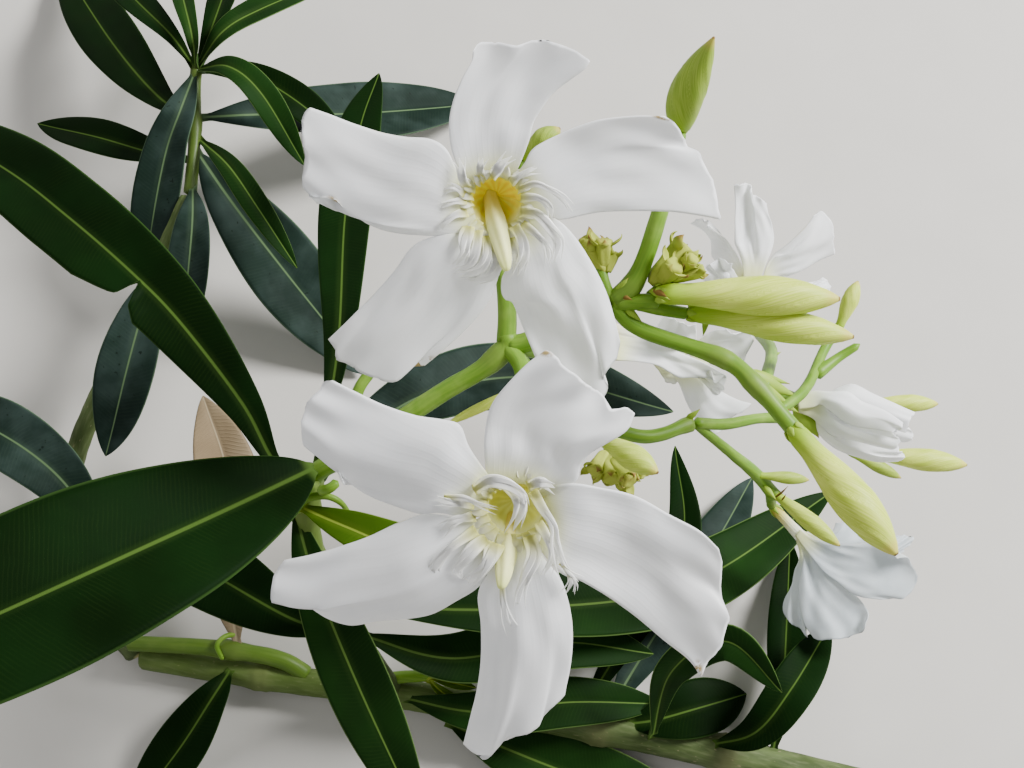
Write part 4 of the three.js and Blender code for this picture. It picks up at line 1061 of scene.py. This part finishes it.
def plume(path, width, thickness=0.24, rows=26, columns=12, whiten=1.0):
    """A soft flat plume along a smooth curve: an ellipse of 1.24 width by thickness that shrinks to a point
    as (1 - s^1.7)^0.8, swells by 16 % in two places and is hollowed like a gutter by 0.12 of its width. It
    is yellow-green at its foot and whitens towards the end: its mark is whiten * s."""
    line, tangent, _ = smooth_curve(path, rows)
    across = unit(np.cross(tangent, -forward))
    lift = np.cross(across, tangent)
    s = np.linspace(0, 1, rows)[:, None]
    angle = full_turn(columns)
    taper = np.maximum(0.04, (1 - s**1.7) ** 0.8 * (1 + 0.16 * np.sin(8 * s + width * 7)))
    flat = np.cos(angle) * width * 0.62 * taper
    deep = (np.sin(angle) * thickness / 2 + 0.12 * width * np.cos(angle) ** 2) * taper
    surface = line[:, None] + flat[..., None] * across[:, None] + deep[..., None] * lift[:, None]
    return surface, {"petal": three(whiten * s, np.zeros((1, columns)), 0.0)}


cream = Finish("crown", 0.6, 0.15, 0.5)
grown, _, _ = cream.mark("petal")
# Yellow-green at the plume feet, whitening outwards: partly the plumes' own colour, partly painted shade at their
# roots.
cream.colour(cream.blend(cream.band(grown, 0.0, 0.42), "#e0e078", "#fcfcf6"))
cream.bump(cream.noise(1800, 2), 0.04, 0.4)
anther_yellow = Finish("anthers", 0.6, 0.15, 0.3)
share, _, _ = anther_yellow.mark("shell")
colour = anther_yellow.blend(anther_yellow.band(share, 0.08, 0.28), "#dcc862", "#eaeca4")
anther_yellow.colour(anther_yellow.wash(colour, "#d8e08a", anther_yellow.band(share, 0.4, 0.5)))
anther_yellow.bump(anther_yellow.noise(1200, 2), 0.08, 0.5)

for name, plumes in PLUMES.items():
    bloom = BLOOMS[name]
    rng = np.random.default_rng(len(plumes))
    heart = at(bloom["heart"])[0]
    axis = bloom_axis(bloom)
    patches = []
    for width, places in plumes:
        path = np.vstack([on_bloom(bloom, [(across, down)], lift) for across, down, lift in places])
        patches.append(plume(path, 0.75 * width))
        drift = np.linspace(0, 1, len(path))[:, None] ** 1.3
        for turn in (-1, 1):
            aside = np.cross(unit(path[-1] - path[0]), axis) * turn * rng.uniform(0.5, 1.3)
            strand = path + (aside + axis * rng.uniform(-0.3, 0.5)) * drift
            patches.append(plume(strand, 0.32 * width, thickness=0.18, rows=20, columns=8))
    count, least, most, whitening = COLLAR[name]
    for k in range(count):
        out = bloom_spoke(bloom, 360 * k / count + rng.uniform(-4, 4))
        sway = np.cross(axis, out) * rng.uniform(-1.1, 1.1)
        grow = rng.uniform(least, most)
        foot = heart + out * (THROAT_RADIUS - 0.5) - axis * 1.1
        path = [foot, foot + out * 0.9 * grow + axis * 0.9, foot + out * 1.8 * grow + axis * 1.1 + sway]
        path.append(foot + out * 2.7 * grow + axis * 0.8 + sway * 1.6)
        form = {"thickness": 0.2, "rows": 14, "columns": 10, "whiten": whitening}
        patches.append(plume(np.array(path), rng.uniform(0.9, 1.7), **form))
    settle(skin(f"{name}_crown", patches, cream), name)
    inner, tip = ANTHER_CONES[name]
    top = on_bloom(bloom, [tip], 3.0)[0]
    foot = on_bloom(bloom, [inner], 0.0)[0] - axis * 5
    length = np.linalg.norm(top - foot)
    direction = (top - foot) / length
    side = unit(np.cross(direction, UP))
    profile = ANTHER_PROFILE * (length, 1)
    cone = turned_shell(foot, direction, side, profile, rows=40, lobes=5, depth=0.08, twist=0.05)
    settle(skin(f"{name}_anthers", [cone], anther_yellow), name)


# The blooms seen from the side and from behind. The same flower on its way out: petals half closed
# over a slim tube, creased and frilled at the ends, and green sepals at the foot.
SIDE_BLOOMS = {  # first edge, the end between the edges, second edge, heights of the foot and far corners
    "bloom_behind": [
        (
            [(744, 280), (742, 262), (737, 248), (735, 242), (736, 222), (737, 205), (736, 185)],
            [(743, 184), (748, 184), (751, 194), (758, 197)],
            [(760, 280), (766, 264), (772, 252), (775, 240), (773, 226), (769, 215), (767, 203)],
            (62, 72, 70),
        ),
        (
            [(762, 280), (768, 262), (775, 254), (786, 249), (800, 238), (810, 227), (816, 215)],
            [(822, 211), (829, 220), (831, 231), (833, 243)],
            [(764, 288), (776, 279), (790, 276), (805, 270), (820, 262), (836, 255)],
            (61, 68, 60),
        ),
        (
            [(744, 284), (730, 278), (716, 263), (709, 254), (706, 240), (700, 231), (690, 224)],
            [(697, 220), (704, 221)],
            [(748, 280), (743, 268), (737, 257), (728, 246), (718, 236), (708, 228)],
            (61, 60, 66),
        ),
        (
            [(742, 290), (722, 286), (710, 282), (703, 277)],
            [(705, 267), (709, 261), (716, 260), (720, 256), (726, 262)],
            [(746, 286), (736, 280), (730, 273), (732, 264)],
            (61, 66, 69),
        ),
        (
            [(756, 288), (785, 289), (805, 288), (820, 283)],
            [(829, 281), (830, 286)],
            [(756, 296), (785, 298), (808, 296), (828, 292)],
            (60, 57, 55),
        ),
    ],
    "bloom_side": [
        (
            [(612, 335), (630, 337), (646, 340), (660, 343), (685, 354), (705, 363), (727, 376)],
            [(722, 381), (712, 380)],
            [(612, 360), (630, 361), (646, 363), (658, 366), (670, 373), (682, 379), (699, 379)],
            (67.5, 68, 65),
        ),
        (
            [(664, 366), (678, 382), (686, 399), (697, 416)],
            [(703, 425), (712, 432), (720, 428), (729, 418), (736, 412), (744, 409)],
            [(690, 366), (704, 379), (716, 390), (728, 398), (740, 403), (752, 406)],
            (65, 56, 62),
        ),
        (
            [(688, 372), (700, 380), (712, 394)],
            [(721, 391), (723, 385)],
            [(692, 366), (704, 372), (716, 379)],
            (65.5, 66, 68),
        ),
        ([(652, 362), (659, 372), (664, 380)], [(672, 383)], [(668, 364), (674, 370), (681, 378)], (64, 61, 62)),
        (
            [(688, 350), (697, 342), (706, 337), (716, 334), (726, 331)],
            [(735, 335), (742, 336), (754, 340), (747, 352), (745, 359)],
            [(694, 364), (706, 366), (718, 362), (730, 363), (740, 365)],
            (64, 70, 64),
        ),
        (
            [(682, 354), (668, 342), (656, 330), (659, 322), (664, 315)],
            [(672, 318), (681, 319), (688, 322)],
            [(692, 352), (696, 344), (695, 335), (694, 326)],
            (64, 72, 74),
        ),
    ],
    "bloom_fading": [
        (
            [(795, 535), (803, 554), (801, 572), (798, 588), (799, 606), (803, 624), (812, 640)],
            [(820, 641), (830, 639), (842, 638), (853, 631)],
            [
                (800, 532), (812, 548), (824, 564), (838, 578), (850, 590), (859, 598), (865, 606), (868, 612),
                (862, 621),
            ],
            (27.2, 22, 26),
        ),
        (
            [(796, 540), (802, 558), (800, 573), (793, 582), (787, 590), (785, 600)],
            [(788, 611), (794, 622), (800, 630)],
            [(799, 540), (806, 560), (804, 580), (801, 600), (803, 620), (808, 637)],
            (26, 19, 20),
        ),
        (
            [(800, 530), (812, 538), (828, 543), (850, 546), (868, 545), (884, 551), (897, 558)],
            [(907, 562), (912, 571), (917, 580), (911, 592), (903, 599), (891, 601)],
            [(796, 536), (806, 550), (822, 570), (838, 583), (850, 593), (864, 599), (880, 602)],
            (27.5, 33, 28),
        ),
        (
            [(802, 530), (812, 534), (822, 535), (832, 533), (840, 525)],
            [(847, 521), (855, 525), (862, 532)],
            [(802, 538), (816, 547), (832, 551), (848, 550), (862, 546), (872, 537)],
            (26.4, 27, 25),
        ),
        (
            [(812, 548), (850, 552), (880, 548), (897, 535)],
            [(905, 534), (914, 537), (911, 545)],
            [(812, 556), (850, 562), (880, 563), (905, 552)],
            (24, 20, 19),
        ),
    ],
}
# Grey-blue petals for the fading bloom: a faded petal is duller, and the grey is mostly painted shade.
faded_and_shaded = petal_finish("faded_and_shaded_petal", "#c6cfd4", "#b2bcc2")
SIDE_FORMS = {  # arch, radii of the tube and of its mouth, finishes of petals and funnel, frill
    "bloom_behind": (0.6, (1.5, 3.2), white, "pale", 0.35),
    "bloom_side": (0.9, (1.9, 2.4), white, "pale", 0.45),
    "bloom_fading": (0.9, (1.0, 1.3), faded_and_shaded, "fading", 0.6),
}


def raised(places, start, end):
    """Places on the screen at heights that run evenly along them from start to end."""
    places = np.array(places, float)
    run = np.concatenate([[0], np.cumsum(np.linalg.norm(np.diff(places, axis=0), axis=1))])
    return at(np.column_stack([places, start + (end - start) * run / run[-1]]))


def raised_petal(first, end, second, heights, **form):
    """A petal whose edges stand at heights over the ground, from its foot to its near and far corners."""
    foot, near, far = heights
    end = raised([first[-1], *end, second[-1]], near, far)
    first, second = raised(first, foot, near), raised(second, foot, far)
    return petal(first, end, second, (first[0], second[0]), **form)


for index, (name, (arch, radii, finish, tube, frill)) in enumerate(SIDE_FORMS.items()):
    bloom = BLOOMS[name]
    axis, side = bloom_axis(bloom), bloom_spoke(bloom, 0)
    patches = []
    for i, edges in enumerate(SIDE_BLOOMS[name]):
        form = {"arch": arch if i % 2 else -arch, "crease": (0.1, 0.0, 0.6), "frill": frill}
        patches.append(raised_petal(*edges, **form, seed=70 + 9 * i + index))
    settle(skin(f"{name}_petals", patches, finish), name)
    profile = funnel_profile(bloom["tube"], *radii)
    shell = turned_shell(at(bloom["heart"])[0], axis, side, profile, rows=50)
    settle(skin(f"{name}_funnel", [shell], FUNNEL_FINISHES[tube]), name)
    clasp = sepals(bloom_foot(bloom), axis, side, radius=radii[0] * 0.6, length=2.6, spread=0.8, width=1.5)
    settle(skin(f"{name}_sepals", clasp, sepal_green), name)


# The buds. Slender spindles of five petals rolled over one another, so that their edges wind up the bud
# as shallow steps. Smooth, cream to yellow-green, greener at the foot, with a tiny brown point.
BUD_OUTLINE = [(0, 0.4), (0.07, 0.55), (0.2, 0.6), (0.42, 0.88), (0.6, 1), (0.78, 0.84), (0.92, 0.46), (1, 0.1)]
HIGH_OUTLINE = [(0, 0.4), (0.08, 0.74), (0.22, 0.96), (0.42, 1), (0.62, 0.84), (0.8, 0.54), (0.93, 0.24), (1, 0.06)]
BUD_TWIST = 1.1
BUD_LIFT = 0.14
BUDS = {  # foot, tip, radius, greenness, outline and bow
    "bud_high": ((681, 128, 112), (714, 37, 130), 2.8, 0.9, HIGH_OUTLINE, -0.9),
    "bud_long_upper": ((656, 294, 103), (840, 299, 103), 3.1, 0.05),
    "bud_long_lower": ((688, 313, 99), (854, 337, 99), 2.6, 0.12),
    "bud_plump": ((792, 428, 96), (897, 555, 95), 3.2, 0.08),
    "bud_lower": (FADING_JOINT, (840, 546, 54), 1.6, 0.35),
    "bud_right_upper": ((866, 403, 58), (938, 404, 56), 1.6, 0.05),
    "bud_right_lower": ((868, 454, 52), (967, 465, 50), 2.1, 0.05),
    "bud_thin": ((838, 330, 88), (858, 281, 91), 1.4, 0.15),
    "bud_front": ((598, 437, 92), (658, 473, 96), 2.05, 0.3),
    "bud_back": ((522, 158, 104), (560, 128, 108), 1.9, 0.8),
}
GREEN_BUDS = [
    ((756, 475, 58), (809, 480, 56), 1.15, 0.7),
    ((848, 452, 54), (901, 478, 50), 1.15, 0.75),
    ((540, 379, 88), (445, 425, 83), 0.85, 0.05),
]


def between(start, tip):
    """The foot of what stands between two places, its direction, a level side and its length in mm."""
    foot, top = at([start, tip])
    length = np.linalg.norm(top - foot)
    axis = (top - foot) / length
    return foot, axis, unit(np.cross(UP, axis)), length


def bud(start, tip, radius, tone, outline=BUD_OUTLINE, bow=0.0, around=48, rows=60, step=0.07):
    """A rolled bud: radius * outline(t) * (1 - 0.4 step + step * edge), where edge falls off after each of
    five petals' edges, and these wind by 1.1 / 10 of a turn from foot to tip. Its middle lies bow mm to
    the right."""
    foot, axis, side, length = between(start, tip)
    lift = np.cross(axis, side)
    curve, _, _ = smooth_curve([(t * 4, share) for t, share in outline], rows)
    t = curve[:, :1] / 4
    angle = full_turn(around)
    turn = 5 * (angle / (2 * math.pi) + BUD_TWIST * t / 2)
    saw = 1 - (turn - np.floor(turn))
    edge = step * smooth_step(t, 0.15, 0.6) * (saw**0.6 * smooth_step(saw, 0, 0.12))
    rad = radius * np.maximum(curve[:, 1:], 0.03) * (1 - step * 0.4 + edge)
    line = foot + t * length * axis + BUD_LIFT * radius * np.sin(math.pi * t) * lift
    line = line + bow * np.sin(math.pi * t**0.7) * screen_right
    surface = line[:, None] + rad[..., None] * spokes(angle, side, lift)
    return surface, {"bud": three(t, saw, tone)}


bud_cream = Finish("bud_petal", 0.48, 0.2, 0.25)
height, saw, greenness = bud_cream.mark("bud")
streaks = bud_cream.noise(3.0, 3, bud_cream.plane(saw, 5.0, height, 1.5))
streaky = bud_cream.band(streaks, 0.3, 0.7)
pale_side = bud_cream.blend(streaky, "#bacd40", "#d6e16c")
green_side = bud_cream.blend(streaky, "#6f8d28", "#8ba33a")
colour = bud_cream.blend(greenness, pale_side, green_side)
colour = bud_cream.wash(colour, "#8fb020", bud_cream.band(height, 0.36, 0.02))
colour = bud_cream.wash(colour, "#9aae48", bud_cream.band(saw, 0.12, 0.0), 0.35)
colour = bud_cream.wash(colour, "#c9a860", bud_cream.band(height, 0.88, 0.97), 0.45)
bud_cream.colour(bud_cream.wash(colour, "#6f5426", bud_cream.band(height, 0.984, 0.997)))
bud_cream.bump(streaks, 0.035, 0.5)

for i, (name, (start, tip, radius, *shape)) in enumerate(BUDS.items()):
    settle(skin(f"{name}_petals", [bud(start, tip, radius, *shape)], bud_cream), name)
    foot, axis, side, _ = between(start, tip)
    form = {"spread": 0.16, "turn": 20 * i, "width": radius * 0.55}
    clasp = sepals(foot - axis * 0.2, axis, side, radius * 0.42, 0.8 + radius * 0.36, **form)
    settle(skin(f"{name}_sepals", clasp, sepal_green), name)

for i, shape in enumerate(GREEN_BUDS):
    settle(skin(f"green_bud_{i + 1}", [bud(*shape, around=32, rows=40)], bud_cream), "lower_spray")


# The opening bloom. A bud whose five white petals have begun to unroll: each laps over the next, loose
# and crumpled at its end, greenish at the foot, on a short cup of sepals.
OPENING_FOOT = (797, 404, 85)
OPENING_TIP = (906, 431, 84)
OPENING_CORE = 3.0
OPENING_PETALS = [  # as in SIDE_BLOOMS, and the arch
    (
        [(798, 398), (811, 391), (829, 391), (838, 387), (853, 383), (870, 392), (888, 401), (909, 412)],
        [(912, 418), (908, 424)],
        [(800, 406), (830, 412), (860, 418), (885, 424), (907, 431)],
        (85, 85, 87), 1.7,
    ),
    (
        [(840, 402), (865, 408), (888, 414), (903, 422)],
        [(909, 431), (912, 438)],
        [(840, 425), (862, 432), (885, 438), (904, 443)],
        (85, 84, 83), 1.0,
    ),
    (
        [(799, 412), (818, 420), (836, 432), (856, 440), (876, 446), (897, 446)],
        [(903, 451), (901, 456)],
        [(800, 414), (808, 421), (818, 434), (828, 444), (840, 451), (858, 455), (876, 457), (893, 456)],
        (85, 86, 82), 1.2,
    ),
    (
        [(798, 404), (812, 404), (822, 403), (834, 412), (848, 420), (862, 424), (878, 427), (892, 430)],
        [(899, 436), (898, 444)],
        [(799, 412), (812, 418), (822, 427), (836, 437), (856, 442), (874, 447), (888, 450)],
        (86, 90, 87), 1.3,
    ),
    (
        [(797, 399), (812, 391), (829, 391), (848, 391), (861, 400), (874, 405), (886, 411), (897, 422)],
        [(901, 427), (900, 433)],
        [(799, 409), (813, 407), (821, 404), (829, 409), (842, 419), (856, 425), (874, 427), (893, 431)],
        (87, 90, 91), 1.5,
    ),
]


def rolled_petal(foot, axis, side, length, radius, turn, loosen, seed, rows=40, columns=29):
    """A petal rolled round an axis: at height s and across t it lies at the angle turn + 40 s + 78 t (1 -
    0.25 s) degrees and at radius * body(s) * (0.84 + 0.12 t), with body(s) = sin(pi * (0.08 + 0.76 s))^0.85,
    and its end lifts off by loosen * s^3 and crumples."""
    s = np.linspace(0, 1, rows)[:, None]
    t = np.linspace(-1, 1, columns)
    body = np.sin(math.pi * (0.08 + 0.76 * s)) ** 0.85
    angle = np.radians(turn + 78 * t * (1 - 0.25 * s) + 40 * s)
    crumple = 0.35 * ripple(t * 1.6, s * 1.4, seed) * smooth_step(s, 0.1, 0.8)
    rad = radius * body * (0.84 + 0.12 * t) + loosen * s**3 + crumple
    ring = spokes(angle, side, np.cross(axis, side))
    reach = s * length * (1 - 0.12 * t**2 + 0.03 * ripple(t * 3, s * 0, seed + 1))
    sheet = foot + axis * reach[..., None] + ring * rad[..., None]
    both, _ = there_and_back(columns)
    marks = {
        "petal": three(0.12 + 0.85 * s, 0.9 * t[both][None], 0.0),
        "look": three((t * radius)[both][None], 0.0, s * length),
    }
    return closed(sheet, ring * (0.16 * (1 - 0.5 * t**4))[:, None]), marks


foot, axis, side, length = between(OPENING_FOOT, OPENING_TIP)
patches = [
    rolled_petal(foot, axis, side, length * 0.9, OPENING_CORE, turn=72 * i + 15, loosen=0.4, seed=90 + i)
    for i in range(5)
]
for i, (*edges, arch) in enumerate(OPENING_PETALS):
    form = {"arch": arch, "crease": (0.3, -0.1, 0.12), "frill": 0.2, "uneven": 0.3}
    patches.append(raised_petal(*edges, **form, seed=130 + 7 * i))
settle(skin("bloom_opening_petals", patches, white), "bloom_opening")
clasp = sepals(foot, axis, side, radius=1.1, length=3.8, spread=0.8)
settle(skin("bloom_opening_sepals", clasp, sepal_green), "bloom_opening")


# The spent cups. Where flowers have dropped, their green cups stay in tight tufts on the stalks: short
# tubes with five pointed lobes, dull yellow-green, brown and dry at the points.
SPENT_CUPS = {  # foot, mouth, radius
    "spent_cups_upper": [
        ((606, 274, 102.5), (592, 246, 104), 1.5),
        ((603, 268, 103), (604, 240, 106), 1.3),
        ((601, 266, 103), (584, 240, 102), 1.2),
        ((608, 272, 103), (614, 252, 104), 0.9),
    ],
    "spent_cups_right": [
        ((650, 284, 102.5), (686, 247, 105), 2.0),
        ((660, 282, 103), (676, 264, 107), 1.5),
        ((672, 280, 103.5), (704, 270, 105), 1.0),
        ((668, 276, 103), (694, 258, 107), 1.1),
    ],
    "spent_cups_lower": [
        ((606, 452, 87), (594, 472, 88), 1.4),
        ((609, 456, 87), (612, 480, 89), 1.5),
        ((612, 458, 88), (630, 482, 90), 1.4),
        ((612, 456, 88), (644, 474, 89), 1.1),
    ],
}
CUP_PROFILE = [(0.2, 0.75), (0.7, 1), (1, 0.95)]
CUP_AROUND = 24
CUP_ROWS = 20

dull = Finish("spent_cup", 0.7, 0.12)
grown, _, _ = dull.mark("petal")
colour = dull.blend(dull.noise(420, 3), "#8c9a2b", "#b3b955")
browned = dull.times(dull.band(dull.noise(260, 3), 0.44, 0.6), dull.band(grown, 0.35, 0.85))
dull.colour(dull.wash(colour, "#7d5f30", browned))
dull.bump(dull.noise(1500, 2), 0.08, 0.6)

for name, cups in SPENT_CUPS.items():
    patches = []
    for i, (place, mouth, radius) in enumerate(cups):
        foot, axis, side, length = between(place, mouth)
        profile = [(0, 0.5), *((t * length, share * radius) for t, share in CUP_PROFILE), (length * 1.02, 0.2)]
        cup, _ = turned_shell(foot, axis, side, profile, CUP_AROUND, CUP_ROWS, lobes=5, depth=0.1, twist=0.1)
        ripe = np.linspace(0, 0.6, CUP_ROWS)[:, None]
        patches.append((cup, {"petal": three(ripe, np.zeros((1, CUP_AROUND)), 0.0)}))
        for k in range(5):
            out = turned(side, axis, 72 * k + 25 * i)
            bend = 0.5 + 0.5 * math.sin(3.1 * k + 2 * i)
            low = foot + axis * 0.8 * length + out * radius * 0.75
            high = low + axis * radius * (0.9 + 0.7 * bend) + out * radius * (1.5 * bend - 0.1)
            bulge = out * radius * 0.45
            patches.append(scale_blade(low, high, bulge, radius * 1.35, thickness=0.35, columns=9, point=1.9))
    settle(skin(f"{name}_tuft", patches, dull), name)


# The bracts and young scales. Small pointed scales, green or dry and tan, that sit where the stalks fork
# and where leaves or flowers have dropped, and thin leaf feet that are left on the stems.
BRACTS = {  # foot, tip, width, bow
    "long_stalk": [
        ((744, 374, 98.8), (797, 397, 93), 3.2, 1.3),
        ((750, 383, 98.6), (790, 405, 94), 2.8, 1.0),
        ((745, 372, 98.4), (790, 384, 94), 2.0, 0.8),
    ],
    "stalk_bloom_opening": [((796, 404, 85), (819, 438, 84), 3.8, 1.0), ((776, 400, 94), (799, 413, 88), 1.4, 0.6)],
    "upper_spray": [
        ((706, 320, 96.5), (703, 336, 95), 1.2, 0.4),
        ((616, 294, 101.5), (628, 278, 104), 1.5, 0.5),
        ((626, 308, 100.5), (642, 322, 99), 1.4, 0.5),
        ((602, 300, 100), (594, 286, 102), 1.3, 0.4),
        ((650, 290, 103), (670, 300, 104.5), 1.3, 0.5),
    ],
    "lower_spray": [((686, 420, 77), (700, 409, 78.5), 1.3, 0.5), ((764, 486, 56), (776, 500, 56), 1.3, 0.4)],
    "stalk_bloom_behind": [((769, 366, 90), (764, 378, 94), 1.2, 0.4), ((772, 356, 84), (781, 352, 84), 0.8, 0.3)],
}
DRY_SCALES = {
    "long_stalk": [((773, 403, 96), (791, 411, 95), 1.0, 0.4), ((764, 396, 97), (776, 407, 96.5), 0.9, 0.3)],
    "lower_spray": [((776, 497, 55), (788, 486, 58), 0.5, 0.6), ((782, 500, 55), (786, 494, 57), 0.4, 0.3)],
    "upper_spray": [((654, 290, 104), (667, 297, 105), 1.2, 0.4), ((622, 296, 102), (632, 300, 103), 0.9, 0.3)],
}
LEAF_FEET = {  # places along the foot, radii of its ends
    "flowering_shoot": [
        ([(296, 511, 73), (305, 499, 76), (325, 496, 77), (340, 502, 76), (349, 513, 73)], (0.9, 0.4)),
        ([(320, 491, 78), (330, 488, 80), (338, 481, 80)], (0.9, 0.8)),
    ],
    "flower_stalk": [([(352, 445, 79.5), (352, 415, 82), (359, 389, 84), (372, 370, 85)], (1.1, 0.95))],
    "side_twig": [([(236, 634, 9.5), (224, 637, 11.5), (217, 646, 11.5), (223, 660, 9.5)], (0.6, 0.45))],
    "main_stem": [([(378, 682, 7), (402, 677, 8), (432, 676, 8.5)], (1.5, 1.1))],
}
ROSETTE = [  # places along the midrib, width
    ([(428, 676, 8.5), (450, 668, 11), (480, 667, 10)], 2.4),
    ([(428, 677, 8.5), (450, 682, 9), (476, 688, 7)], 2.4),
    ([(427, 675, 8.5), (440, 661, 12), (460, 650, 12)], 2.2),
    ([(427, 678, 8.5), (442, 692, 8), (462, 704, 5)], 2.2),
    ([(426, 674, 8.5), (430, 660, 12), (440, 644, 13)], 2.0),
    ([(428, 676, 9), (446, 675, 13), (468, 678, 14)], 2.2),
]

tan = Finish("dry_scale", 0.8, 0.1)
tan.colour(tan.blend(tan.noise(600, 3), "#8c7038", "#5f4522"))
tan.bump(tan.noise(1500, 2), 0.05, 0.5)

for kind, scales, finish in (("bracts", BRACTS, sepal_green), ("dry_scales", DRY_SCALES, tan)):
    for name, places in scales.items():
        patches = [
            scale_blade(*at(ends), -forward * bow, width, thickness=0.3, rows=14, columns=9, point=1.8)
            for *ends, width, bow in places
        ]
        settle(skin(f"{name}_{kind}", patches, finish), name)
for name, feet in LEAF_FEET.items():
    patches = [limb(at(places), radii, around=12, step=0.4) for places, radii in feet]
    settle(skin(f"{name}_leaf_feet", patches, sap_green), name)
patches = [blade(at(places), width, seed=160 + i, step=0.4) for i, (places, width) in enumerate(ROSETTE)]
settle(skin("main_stem_rosette", patches, LEAF_FINISHES["young"]), "main_stem")
